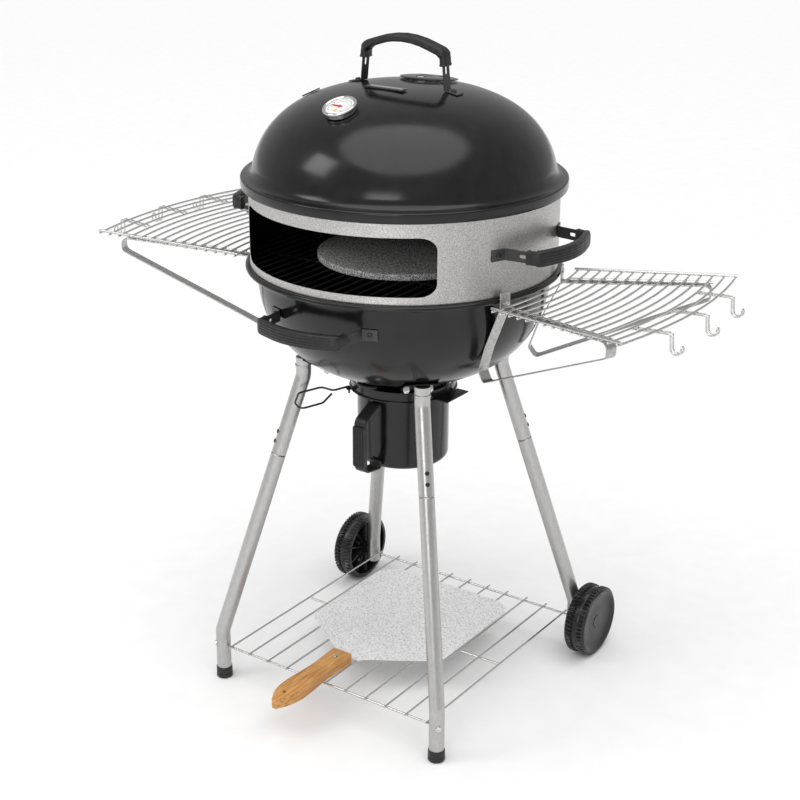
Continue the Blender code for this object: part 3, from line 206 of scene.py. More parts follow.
STONE = finish(
    "baking_stone",
    [(0.38, grey(0.12)), (0.46, grey(0.42, 0.006)), (0.52, grey(0.72, 0.008)), (0.60, grey(0.95, 0.006))],
    (0.75, 0.92), 420.0, bump=(420.0, 0.00030),
)
BLADE = finish(
    "speckled_aluminium",
    [(0.34, grey(0.50)), (0.46, grey(0.84)), (0.56, grey(1.0))],
    (0.34, 0.50), 420.0, metal=0.30, bump=(520.0, 0.00008),
)
DIAL = finish("dial_white", two(0.74, 0.82, 0.006), (0.22, 0.30), 120.0)
INK = finish("dial_ink", two(0.02, 0.04), (0.40, 0.50), 120.0)
YELLOW = finish("dial_yellow", [(0.35, (0.72, 0.42, 0.03)), (0.65, (0.80, 0.48, 0.04))], (0.40, 0.50), 120.0)
RED = finish("needle_red", [(0.35, (0.50, 0.015, 0.010)), (0.65, (0.62, 0.025, 0.015))], (0.30, 0.42), 120.0)


def oak():
    """Oiled oak, its grain along the handle."""
    made = finish(
        "oiled_oak",
        [(0.30, (0.36, 0.150, 0.034)), (0.48, (0.54, 0.255, 0.068)), (0.64, (0.66, 0.345, 0.110))],
        (0.34, 0.52), 240.0, (1.0, 0.07, 1.0), bump=(320.0, 0.00016),
    )
    tree = made.node_tree
    surface = tree.nodes["Principled BSDF"]
    grain = surface.inputs["Base Color"].links[0].from_socket
    pores = ramp(tree, noise(tree, 900.0, (1.0, 0.03, 1.0)), [(0.56, grey(0.0)), (0.66, grey(0.55))])
    tree.links.new(mix(tree, pores, grain, (0.13, 0.045, 0.012)), surface.inputs["Base Color"])
    return made


OAK = oak()


# ---- tools -----------------------------------------------------------------
def to_mesh(name, bm):
    bmesh.ops.remove_doubles(bm, verts=bm.verts, dist=0.000005)
    bmesh.ops.recalc_face_normals(bm, faces=bm.faces)
    mesh = bpy.data.meshes.new(name)
    bm.to_mesh(mesh)
    bm.free()
    return mesh


def circle(radius, height, steps=96):
    turns = [tau * step / steps for step in range(steps)]
    return [(radius * cos(turn), radius * sin(turn), height) for turn in turns]


def turned(profile, steps=96, place=None, radius_of=None):
    """A profile of (radius, height) turned about Z, then placed. It closes on itself off the axis."""
    bm = bmesh.new()
    rings = []
    for level, (radius, height) in enumerate(profile):
        ring = []
        for step in range(steps):
            angle = tau * step / steps
            reach = radius_of(level, step, radius) if radius_of else radius
            ring.append(bm.verts.new((reach * cos(angle), reach * sin(angle), height)))
        rings.append(ring)
    pairs = list(zip(rings, rings[1:]))
    if profile[0][0] > 0.0 and profile[-1][0] > 0.0:
        pairs.append((rings[-1], rings[0]))
    for low, high in pairs:
        for step in range(steps):
            after = (step + 1) % steps
            bm.faces.new((low[step], low[after], high[after], high[step]))
    bmesh.ops.dissolve_degenerate(bm, dist=0.000005, edges=bm.edges)
    mesh = to_mesh("turned", bm)
    if place:
        mesh.transform(place)
    return mesh


def rod(radius, low, high, steps, place=None):
    return turned([(0.0, low), (radius, low), (radius, high), (0.0, high)], steps, place)


def offset(radius, height, steps):
    """Points of a profile, given from one of its corners."""
    return [(radius + out, height + up) for out, up in steps]


def at(x, z):
    return Vector((x, 0.0, z))


def loft(rings, closed=False, place=None):
    bm = bmesh.new()
    rows = [[bm.verts.new(point) for point in ring] for ring in rings]
    pairs = list(zip(rows, rows[1:]))
    if closed:
        pairs.append((rows[-1], rows[0]))
    else:
        bm.faces.new(rows[0][::-1])
        bm.faces.new(rows[-1])
    for low, high in pairs:
        for index in range(len(low)):
            after = (index + 1) % len(low)
            bm.faces.new((low[index], low[after], high[after], high[index]))
    mesh = to_mesh("loft", bm)
    if place:
        mesh.transform(place)
    return mesh


def joined(meshes):
    bm = bmesh.new()
    for mesh in meshes:
        bm.from_mesh(mesh)
    mesh = bpy.data.meshes.new("joined")
    bm.to_mesh(mesh)
    bm.free()
    return mesh


def cut(mesh, cutters):
    """The mesh with the cutters taken out of it."""
    base = bpy.data.objects.new("base", mesh)
    tool = bpy.data.objects.new("tool", joined(cutters))
    for obj in (base, tool):
        bpy.context.scene.collection.objects.link(obj)
    change = base.modifiers.new("Cut", "BOOLEAN")
    change.operation = "DIFFERENCE"
    change.object = tool
    change.solver = "EXACT"
    graph = bpy.context.evaluated_depsgraph_get()
    result = bpy.data.meshes.new_from_object(base.evaluated_get(graph))
    for obj in (base, tool):
        bpy.data.objects.remove(obj, do_unlink=True)
    return result


def rounded(points, radii, steps=6):
    """A path whose inner corners are arcs."""
    path = [Vector(points[0])]
    for before, corner, after, radius in zip(points, points[1:], points[2:], radii):
        corner = Vector(corner)
        back = (Vector(before) - corner).normalized()
        ahead = (Vector(after) - corner).normalized()
        half = back.angle(ahead) / 2.0
        centre = corner + (back + ahead).normalized() * radius / sin(half)
        start = corner + back * radius / tan(half) - centre
        axis = start.cross(-back)
        for step in range(steps + 1):
            turn = (pi - 2.0 * half) * step / steps
            path.append(centre + Matrix.Rotation(turn, 3, axis) @ start)
    path.append(Vector(points[-1]))
    return path


def sweep(path, section, closed=False, place=None):
    """A section carried along a path in XZ. section(index) gives (sideways, along Y) pairs."""
    path = [at(point[0], point[-1]) for point in path]
    rings = []
    for index, point in enumerate(path):
        back = point - path[index - 1] if closed or index else path[1] - point
        ahead = path[(index + 1) % len(path)] - point if closed or index < len(path) - 1 else back
        way, after = back.normalized(), ahead.normalized()
        plane = (way + after).normalized()
        side = at(plane.z, -plane.x) / max(way.dot(plane), 0.2)
        rings.append([point + side * out + Vector((0.0, wide, 0.0)) for out, wide in section(index)])
    return loft(rings, closed, place)


def strap(path, thick, wide, closed=False, place=None):
    edge = thick * 0.3
    out, half = thick / 2.0, wide / 2.0
    corners = [
        (out - edge, half), (out, half - edge), (out, edge - half), (out - edge, -half),
        (edge - out, -half), (-out, edge - half), (-out, half - edge), (edge - out, half),
    ]
    return sweep(path, lambda index: corners, closed, place)


def block(low, high, place=None, edge=0.0006):
    bm = bmesh.new()
    size = Vector(high) - Vector(low)
    middle = (Vector(high) + Vector(low)) / 2.0
    bmesh.ops.create_cube(bm, size=1.0, matrix=Matrix.Translation(middle) @ Matrix.Diagonal((*size, 1.0)))
    bmesh.ops.bevel(bm, geom=bm.edges[:], offset=edge, segments=2, affect="EDGES")
    mesh = to_mesh("block", bm)
    if place:
        mesh.transform(place)
    return mesh


def button(radius, high, place, sides=32, socket=False):
    """A screw head with a rounded edge, or with few sides a nut."""
    edge = min(radius, high) * 0.35
    profile = [(0.0, 0.0), (radius, 0.0)]
    profile += offset(radius, high, [(0.0, -edge), (-edge * 0.3, -edge * 0.3), (-edge, 0.0)])
    if socket:
        profile += [(radius * 0.45, high), (radius * 0.42, high * 0.45)]
    profile.append((0.0, profile[-1][1]))
    return turned(profile, sides, place)


def show(name, mesh, body, paints, nodes, sharp=35.0):
    """One visible piece that rides a body and stands for CAD nodes."""
    obj = bpy.data.objects.new(name, mesh)
    bpy.context.scene.collection.objects.link(obj)
    for paint in paints:
        mesh.materials.append(paint)
    mesh.shade_smooth()
    mesh.set_sharp_from_angle(angle=radians(sharp))
    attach(obj, body)
    if nodes:
        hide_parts(*nodes)


def wires(name, runs, body, paint, nodes):
    """Round wires as one curve. Each run is (path, radius, closed)."""
    curve = bpy.data.curves.new(name, "CURVE")
    curve.dimensions = "3D"
    curve.bevel_depth = 0.001
    curve.bevel_resolution = 3
    curve.use_fill_caps = True
    for path, radius, closed in runs:
        spline = curve.splines.new("POLY")
        spline.points.add(len(path) - 1)
        spline.use_cyclic_u = closed
        spline.use_smooth = True
        for point, spot in zip(spline.points, path):
            point.co = (*spot, 1.0)
            point.radius = radius / 0.001
    curve.materials.append(paint)
    obj = bpy.data.objects.new(name, curve)
    bpy.context.scene.collection.objects.link(obj)
    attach(obj, body)
    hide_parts(*nodes)


def turn_z(degrees):
    return Matrix.Rotation(radians(degrees), 4, "Z")


def shift(x, y, z):
    return Matrix.Translation((x, y, z))


def facing(across, up, out, point):
    """A placement whose local X, Y and Z run along the three directions."""
    made = Matrix((across, up, out)).transposed().to_4x4()
    return Matrix.Translation(point) @ made


# ---- kettle ----------------------------------------------------------------
BOWL_RIM_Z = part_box("bowl")[1].z - 0.0116
LEDGE_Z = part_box("bowl")[1].z
DOME_BASE_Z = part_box("lid")[1].z - DOME[1]


def bowl_point(angle, wall=0.0):
    radius, depth, power_r, power_z = BOWL
    reach = (radius - wall) * max(cos(angle), 0.0) ** (2.0 / power_r)
    return reach, BOWL_RIM_Z - (depth - wall) * sin(angle) ** (2.0 / power_z)


def bowl_under(reach):
    angle = acos(min(reach / BOWL[0], 1.0) ** (BOWL[2] / 2.0))
    return bowl_point(angle)[1]


def dome_point(angle, wall=0.0):
    radius, rise, power = DOME
    reach = (radius - wall) * max(cos(angle), 0.0) ** (2.0 / power)
    return reach, DOME_BASE_Z + (rise - wall) * sin(angle) ** (2.0 / power)


def dome_height(reach):
    return dome_point(acos((reach / DOME[0]) ** (DOME[2] / 2.0)))[1]


def dome_slope(reach):
    step = 0.001
    return atan2(dome_height(reach - step) - dome_height(reach + step), 2.0 * step)


def dome_place(reach, degrees, lift=0.0):
    """A placement on the dome: local Z along its normal, local X sideways."""
    slope = dome_slope(reach)
    out = at(sin(slope), cos(slope))
    down = at(cos(slope), -sin(slope))
    point = at(reach, dome_height(reach)) + out * lift
    return turn_z(degrees) @ facing(out.cross(down), -down, out, point)


def inner_faces(mesh):
    """Gives the faces that look towards the axis the second paint."""
    for face in mesh.polygons:
        centre = face.center
        inward = face.normal.x * centre.x + face.normal.y * centre.y < -0.2 * hypot(centre.x, centre.y)
        face.material_index = int(inward)


def arc(centre, radius, start, end, steps):
    turn = (end - start) / steps
    return [
        (centre[0] + radius * cos(start + turn * i), centre[1] + radius * sin(start + turn * i))
        for i in range(steps + 1)
    ]


def make_bowl():
    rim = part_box("bowl")[1].x
    angles = [radians(3.0 + 84.0 * i / 22.0) for i in range(23)]
    angles = [angle for angle in angles if bowl_point(angle)[0] > BASE_VENT_R + 0.004]
    roll = arc((rim - 0.0045, LEDGE_Z - 0.0045), 0.0045, pi / 2.0, -pi / 2.0, 10)
    curl = [(rim - 0.0060, LEDGE_Z - 0.0080), (rim - 0.0055, LEDGE_Z - 0.0020)]
    outer = [(BOWL[0] - SHELL + 0.0002, LEDGE_Z - 0.0040), (BOWL[0] + 0.0030, LEDGE_Z), *roll, *curl]
    outer += [(BOWL[0] + 0.0060, LEDGE_Z - SHELL), (BOWL[0] + 0.0010, BOWL_RIM_Z + 0.0040)]
    outer += [bowl_point(angle) for angle in angles]
    inner = [(BASE_VENT_R, bowl_under(BASE_VENT_R)), (BASE_VENT_R, bowl_under(BASE_VENT_R) + SHELL)]
    inner += [bowl_point(angle, SHELL) for angle in reversed(angles)]
    mesh = turned(outer + inner, 144)
    inner_faces(mesh)
    show("bowl_shell", mesh, "stand", [ENAMEL, INNER_DARK], ["bowl"], 50.0)


def make_ring():
    low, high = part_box("pizza_ring")
    wall = 0.0015
    hem = 0.0012
    profile = [(RING_R - wall, low.z + hem), (RING_R - wall, high.z), (RING_R - 0.0002, high.z)]
    profile += [(RING_R - 0.0002, low.z + 0.0046), (RING_R, low.z + 0.0036), (RING_R, low.z + hem)]
    profile += [(RING_R - 0.0004, low.z), (RING_R - wall + 0.0003, low.z)]
    mesh = turned(profile, 192)
    half = RING_R * sin(radians(MOUTH_DEG))
    bottom = low.z + MOUTH_UP
    top = bottom + MOUTH_HIGH
    middle = (bottom + top) / 2.0
    corners = [(half, middle), (half, top), (-half, top), (-half, bottom), (half, bottom), (half, middle)]
    outline = rounded([at(x, z) for x, z in corners], [0.0220] * 4, 8)[:-1]
    depths = (-RING_R * 1.3, -RING_R * 0.45)
    mesh = cut(mesh, [loft([[Vector((point.x, depth, point.z)) for point in outline] for depth in depths])])
    # The faces that look towards the axis take the near-black inner paint, much darker than the steel
    # outside.
    inner_faces(mesh)
    show("ring_shell", mesh, "ring", [RING_STEEL, INNER_DARK], ["pizza_ring"], 40.0)


def vent_holes(steps, first, place):
    """Cutters for the three holes of the lid's vent."""
    turns = [place @ turn_z(120.0 * index + first) for index in range(3)]
    return [rod(VENT_HOLE_R, -0.02, 0.02, steps, turn @ shift(VENT_HOLE_OUT, 0.0, 0.0)) for turn in turns]


def make_lid():
    low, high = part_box("lid")
    skirt = high.x
    seat = low.z + 0.0148
    angles = [radians(90.0 - 2.0 - 78.0 * i / 26.0) for i in range(27)]
    outer = [(0.0, high.z), *[dome_point(angle) for angle in angles]]
    outer += offset(DOME[0], seat, [(0.0012, 0.0062), (0.0050, 0.0042), (0.0110, 0.0034)])
    outer += arc((skirt - 0.0032, seat), 0.0032, pi / 2.0, 0.0, 5)
    outer += offset(skirt, low.z, [(0.0, 0.0030), (-0.0006, 0.0008), (-0.0012, 0.0), (-SHELL, 0.0006)])
    outer += [(skirt - SHELL, seat - 0.0030), (RING_R + 0.0060, seat), (DOME[0] - SHELL - 0.0018, seat)]
    inner = [dome_point(angle, SHELL) for angle in reversed(angles)]
    mesh = turned(outer + inner + [(0.0, high.z - SHELL)], 160)
    mesh = cut(mesh, vent_holes(24, 30.0, dome_place(DAMPER_REACH, 90.0)))
    for face in mesh.polygons:
        reach = hypot(face.center.x, face.center.y)
        under = face.normal.dot(face.center - Vector((0.0, 0.0, DOME_BASE_Z))) < 0.0
        face.material_index = int(under and reach < RING_R)
    show("lid_shell", mesh, "lid", [ENAMEL, INNER_DARK], ["lid"], 50.0)


# ---- handles ---------------------------------------------------------------
def crown_point(share):
    x, up = SHOULDER
    return (x * 0.93 * share, 0.0, up + (CROWN_UP - up) * (1.0 - share * share))


def make_handle(prefix, body, place, drop):
    """A strap with screwed feet and slots, and a moulded grip with a stepped sleeve at each end."""
    foot = at(TAB[0], STRAP / 2.0)
    tab = foot + at(TAB[1] * cos(drop), -TAB[1] * sin(drop))
    shoulder = at(*SHOULDER)
    mirror = Vector((-1.0, 1.0, 1.0))
    crown = [Vector(crown_point(share)) for share in (0.75, 0.5, 0.25, 0.0, -0.25, -0.5, -0.75)]
    corners = [tab, foot, shoulder, *crown, shoulder * mirror, foot * mirror, tab * mirror]
    radii = [0.0030, 0.0120, *[0.0100] * 7, 0.0120, 0.0030]
    band = strap(rounded(corners, radii, 4), STRAP, STRAP_WIDE)
    lean = (foot.x - shoulder.x) / (shoulder.z - foot.z)
    slots = []
    for side in (1.0, -1.0):
        outline = [(y, z + (0.0400 if z > 0.0 else 0.0300)) for z, y, _ in circle(0.0032, 0.0, 24)]
        slots.append(loft([[Vector((side * foot.x + x, y, z)) for y, z in outline] for x in (-0.012, 0.012)]))
    band = cut(band, slots)
    screws = []
    for side in (1.0, -1.0):
        along = at(side * cos(drop), -sin(drop))
        out = at(side * sin(drop), cos(drop))
        spot = at(foot.x * side, foot.z) + along * TAB[1] * 0.5 + out * STRAP * 0.4
        screws.append(button(0.0046, 0.0034, place @ facing(along, out.cross(along), out, spot), 32, True))
    band.transform(place)
    band = joined([band, *screws])
    show(prefix + "_band", band, body, [BLACK_STRAP], [prefix + "_strap"], 30.0)

    start = at(foot.x - lean * (0.0410 - foot.z), 0.0410)
    outline = [start, shoulder, *crown, shoulder * mirror, start * mirror]
    path = rounded(outline, [0.0150, *[0.0120] * 7, 0.0150], 5)
    dense = []
    for before, after in zip(path, path[1:]):
        pieces = max(1, round((after - before).length / 0.0025))
        dense += [before.lerp(after, i / pieces) for i in range(pieces)]
    dense.append(path[-1])
    run = [0.0]
    for before, after in zip(dense, dense[1:]):
        run.append(run[-1] + (after - before).length)

    def section(index):
        near = min(run[index], run[-1] - run[index])
        size = 0.86 + 0.14 * min(max((near - 0.0160) / 0.0010, 0.0), 1.0)
        if near < 0.0030:
            size = 0.94
        if index in (0, len(dense) - 1):
            size = 0.88
        groove = 0.0008 * min(max((near - 0.0230) / 0.0040, 0.0), 1.0)
        ring = [(0.0046, 0.0130), (-0.0048, 0.0130), (-0.0060, 0.0118)]
        ring += [(x, -y) for x, y in reversed(ring)]
        for step in range(21):
            y = 0.0116 * (step / 10.0 - 1.0)
            ring.append((0.0074 - 0.0014 * (y / 0.0116) ** 4 - (groove if step % 4 in (2, 3) else 0.0), y))
        return [(x * size, y * size) for x, y in ring]

    grip = sweep(dense, section, False, place)
    show(prefix + "_mould", grip, body, [PLASTIC], [prefix + "_grip"], 45.0)


def make_handles():
    up = CROWN_UP + STRAP / 2.0
    mid = TAB[0] + TAB[1] * 0.5
    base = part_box("lid_handle_strap")[1].z - up
    make_handle("lid_handle", "lid", shift(0.0, 0.0, base), dome_slope(mid))
    low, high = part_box("bowl_handle_strap")
    place = facing((1, 0, 0), (0, 0, 1), (0, -1, 0), (0.0, low.y + up, (low.z + high.z) / 2.0))
    make_handle("bowl_handle", "stand", place, asin(mid / (BOWL[0] - 0.0003)))
    for side, sign in (("right", 1.0), ("left", -1.0)):
        low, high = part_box("ring_handle_" + side + "_strap")
        reach = max(abs(low.x), abs(high.x)) - up
        place = facing((0, sign, 0), (0, 0, 1), (sign, 0, 0), (sign * reach, 0.0, (low.z + high.z) / 2.0))
        make_handle("ring_handle_" + side, "ring", place, asin(mid / RING_R))


# ---- grates and stone ------------------------------------------------------
def make_grate(node, body, rim_wire, wire, pitch, cross_y, paint):
    low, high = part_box(node)
    radius = high.x - rim_wire
    height = low.z + rim_wire
    if node == "cooking_grate":
        height = high.z - rim_wire
    runs = [(circle(radius, height), rim_wire, True)]
    count = int(radius / pitch)
    for index in range(-count, count + 1):
        x = index * pitch
        if abs(x) > radius - rim_wire * 2.0:
            continue
        reach = sqrt(radius * radius - x * x)
        runs.append(([(x, -reach, height), (x, reach, height)], wire, False))
    for y in (-cross_y, cross_y):
        reach = sqrt(radius * radius - y * y) - 0.004
        runs.append(([(-reach, y, height - wire * 1.8), (reach, y, height - wire * 1.8)], wire, False))
    wires(node + "_wires", runs, body, paint, [node])


def make_inside():
    make_grate("cooking_grate", "grate", 0.0025, 0.0018, 0.0205, 0.105, DARK_WIRE)
    make_grate("charcoal_grate", "coal", 0.0028, 0.0022, 0.0300, 0.088, DARK_WIRE)
    low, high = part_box("pizza_stone")
    edge = 0.0016
    chamfer = [(-edge, 0.0), (-edge * 0.3, -edge * 0.3), (0.0, -edge)]
    profile = [(0.0, high.z), *offset(high.x, high.z, chamfer)]
    profile += [(high.x, low.z + edge), (high.x - edge, low.z), (0.0, low.z)]
    show("stone_disc", turned(profile, 128), "stone", [STONE], ["pizza_stone"], 50.0)


# ---- legs, rack and wheels -------------------------------------------------
LEAN = (LEG_KNEE[0] - LEG_TOP[0]) / (LEG_TOP[1] - LEG_KNEE[1])
LEG_WAY = at(LEAN, -1.0).normalized()
LEG_OUT = at(-LEG_WAY.z, LEG_WAY.x)


def leg_reach(height):
    return LEG_TOP[0] + (LEG_TOP[1] - height) * LEAN


def tube(path, radius_at, place, sides=36):
    """A round tube along a path in XZ."""
    def section(index):
        return [(x, y) for x, y, _ in circle(radius_at(index), 0.0, sides)]

    return sweep(path, section, False, place)


def screw_on_leg(height, place, radius=0.0040):
    """A socket screw on the outer side of a leg."""
    spot = at(leg_reach(height), height) + LEG_OUT * (LEG_R - 0.0006)
    return button(radius, 0.0022, place @ facing(LEG_WAY, LEG_OUT.cross(LEG_WAY), LEG_OUT, spot), 28, True)


def make_leg(corner, degrees):
    place = turn_z(degrees)
    slope = (bowl_under(SADDLE_REACH + 0.001) - bowl_under(SADDLE_REACH - 0.001)) / 0.002
    tilt = atan(slope)
    middle = at(SADDLE_REACH, bowl_under(SADDLE_REACH)) + at(sin(tilt), -cos(tilt)) * 0.00155
    top = middle.z + slope * (LEG_TOP[0] - middle.x) - 0.0015
    seam = at(leg_reach(SEAM_Z), SEAM_Z)
    path = rounded([(LEG_TOP[0], 0.0, top), (LEG_TOP[0], 0.0, LEG_TOP[1]), seam], [0.0450], 10)
    path.insert(-1, seam - LEG_WAY * 0.0015)
    last = len(path) - 1
    upper = tube(path, lambda index: LEG_R - (0.0011 if index == last else 0.0), place)
    lay = Matrix.Translation(middle) @ Matrix.Rotation(-tilt, 4, "Y")
    plate = block((-0.032, -0.031, -0.00125), (0.032, 0.031, 0.00125), place @ lay, 0.0005)
    ends = [middle + at(0.0245, -down) for down in (0.004, 0.010)]
    collar = tube(ends, lambda index: LEG_R + 0.0009 - 0.0006 * index, place)
    show("leg_tube_" + corner, joined([upper, collar]), "stand", [TUBE], ["leg_upper_" + corner])
    show("leg_plate_" + corner, plate, "stand", [ENAMEL], (), 30.0)
    bolts = []
    for side in (-1.0, 1.0):
        spot = place @ lay @ shift(-0.0205, side * 0.0211, 0.0) @ Matrix.Rotation(pi, 4, "X")
        bolts.append(button(0.0065, 0.0068, spot, 6))
        bolts.append(button(0.0040, 0.0090, spot, 20))
    show("leg_nuts_" + corner, joined(bolts), "stand", [BRIGHT], (), 25.0)
    screws = joined([screw_on_leg(SEAM_Z + 0.0400, place), screw_on_leg(SEAM_Z + 0.0214, place)])
    show("leg_screws_" + corner, screws, "stand", [BLACK_STRAP], (), 25.0)

    rear = corner.startswith("rear")
    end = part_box("leg_lower_" + corner)[0].z
    knee = (LEG_KNEE[0], 0.0, LEG_KNEE[1])
    path = rounded([seam + LEG_WAY * 0.0003, knee, (LEG_KNEE[0], 0.0, end)], [0.0450], 10)
    path.insert(1, seam + LEG_WAY * 0.0018)
    path.insert(-1, at(LEG_KNEE[0], end + 0.0012))
    last = len(path) - 1
    lower = tube(path, lambda index: LEG_R - (0.0011 if index in (0, last) else 0.0), place)
    show("leg_foot_" + corner, lower, "stand", [TUBE], ["leg_lower_" + corner])
    if rear:
        sign = -1.0 if corner.endswith("left") else 1.0
        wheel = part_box("wheel_left" if sign < 0.0 else "wheel_right")
        x = LEG_KNEE[0] / sqrt(2.0)
        spot = shift(sign * x, x, (wheel[0].z + wheel[1].z) / 2.0)
        axle = rod(0.0039, 0.0, 0.0350, 24, spot @ Matrix.Rotation(sign * pi / 2.0, 4, "Y"))
        show("axle_" + corner, axle, "stand", [BRIGHT], ())
    else:
        spot = at(LEG_KNEE[0] + LEG_R - 0.0006, 0.0720)
        head = button(0.0050, 0.0042, place @ facing((0, 1, 0), (0, 0, 1), (1, 0, 0), spot), 28, True)
        show("rack_bolt_" + corner, head, "stand", [BRIGHT], (), 25.0)


def make_foot(node):
    low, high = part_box(node)
    radius = (high.x - low.x) / 2.0
    tall = high.z - low.z
    bore = LEG_R + 0.0003
    sole = [(-0.0030, 0.0), (-0.0012, 0.0006), (-0.0002, 0.0022), (-0.0004, 0.0075), (-0.0012, 0.0080)]
    profile = [(0.0, 0.0), *offset(radius, 0.0, [*sole, (-0.0012, 0.0090), (-0.0004, 0.0095)])]
    profile += offset(radius, tall, [(-0.0006, -0.0014), (-0.0012, -0.0002)])
    profile += [(bore, tall), (bore, 0.0040), (0.0, 0.0040)]
    spot = shift((low.x + high.x) / 2.0, (low.y + high.y) / 2.0, 0.0)
    show(node + "_boot", turned(profile, 48, spot), "stand", [PLASTIC], [node], 30.0)


def make_legs():
    corners = (("front_right", -45.0), ("front_left", -135.0), ("rear_right", 45.0), ("rear_left", 135.0))
    for corner, degrees in corners:
        make_leg(corner, degrees)
    make_foot("foot_cap_front_left")
    make_foot("foot_cap_front_right")


def make_rack():
    low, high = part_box("bottom_rack")
    level = high.z - 0.0018
    wide = (high.x - low.x) / 2.0 - 0.0060
    runs = []
    for index in range(11):
        x = (index / 10.0 - 0.5) * RACK_SPAN
        runs.append(([(x, low.y, level), (x, high.y, level)], 0.0018, False))
    for y in (-RACK_CROSS_Y, 0.0, RACK_CROSS_Y):
        reach = high.x if y else wide - 0.0030
        runs.append(([(-reach, y, level - 0.0036), (reach, y, level - 0.0036)], 0.0022, False))
    wires("rack_wires", runs, "stand", CHROME, ["bottom_rack"])


def make_wheel(side, sign):
    """A dished disc with a toothed tread on each side of a smooth band, hollow and ribbed inside."""
    low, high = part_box("wheel_" + side)
    radius = (high.z - low.z) / 2.0
    wide = high.x - low.x
    teeth = 52
    face = [(0.0, wide - 0.0060), (0.0120, wide - 0.0058), (0.0135, wide - 0.0068), (0.0290, wide - 0.0072)]
    lip = [(-0.0220, -0.0062), (-0.0160, -0.0044), (-0.0100, -0.0008), (-0.0075, -0.0001)]
    face += offset(radius, wide, [*lip, (-0.0060, -0.0003), (-0.0052, -0.0020), (-0.0040, -0.0036)])
    band = [(0.0, 0.670), (-0.0040, 0.650), (-0.0034, 0.620), (-0.0028, 0.5), (-0.0034, 0.380)]
    tread = [(radius, wide - 0.0042), *[(radius + out, wide * share) for out, share in band]]
    tread.append((radius - 0.0040, wide * 0.350))
    tread += [(radius, wide * 0.330), (radius, 0.0040), (radius - 0.0030, 0.0008)]
    inside = offset(radius, 0.0, [(-0.0060, 0.0), (-0.0100, 0.0004), (-0.0112, 0.0060)])
    inside += [(radius - 0.0130, wide - 0.0130), (0.0145, wide - 0.0130)]
    inside += [(0.0125, 0.0010), (0.0105, 0.0004), (0.0044, 0.0004), (0.0044, wide * 0.7), (0.0, wide * 0.7)]
    profile = face + tread + inside
    toothed = {len(face), len(face) + 1, len(face) + 7, len(face) + 8}

    def reach(level, step, value):
        return value - (0.0034 if level in toothed and step % 4 in (2, 3) else 0.0)

    meshes = [turned(profile, teeth * 4, None, reach)]
    rib = (0.0110, -0.0014, 0.0050), (radius - 0.0105, 0.0014, wide - 0.0120)
    meshes += [block(*rib, turn_z(36.0 * index), 0.0004) for index in range(10)]
    for index in range(5):
        turn = turn_z(72.0 * index + 18.0)
        meshes.append(rod(0.0034, 0.0, wide - 0.0110, 20, turn @ shift(0.0340, 0.0, 0.004)))
    mesh = joined(meshes)
    near = low.x if sign > 0.0 else high.x
    spot = shift(near, (low.y + high.y) / 2.0, radius)
    mesh.transform(spot @ Matrix.Rotation(sign * pi / 2.0, 4, "Y"))
    body = "wheel_" + side + "_turn"
    show("wheel_disc_" + side, mesh, body, [TYRE], ["wheel_" + side], 32.0)


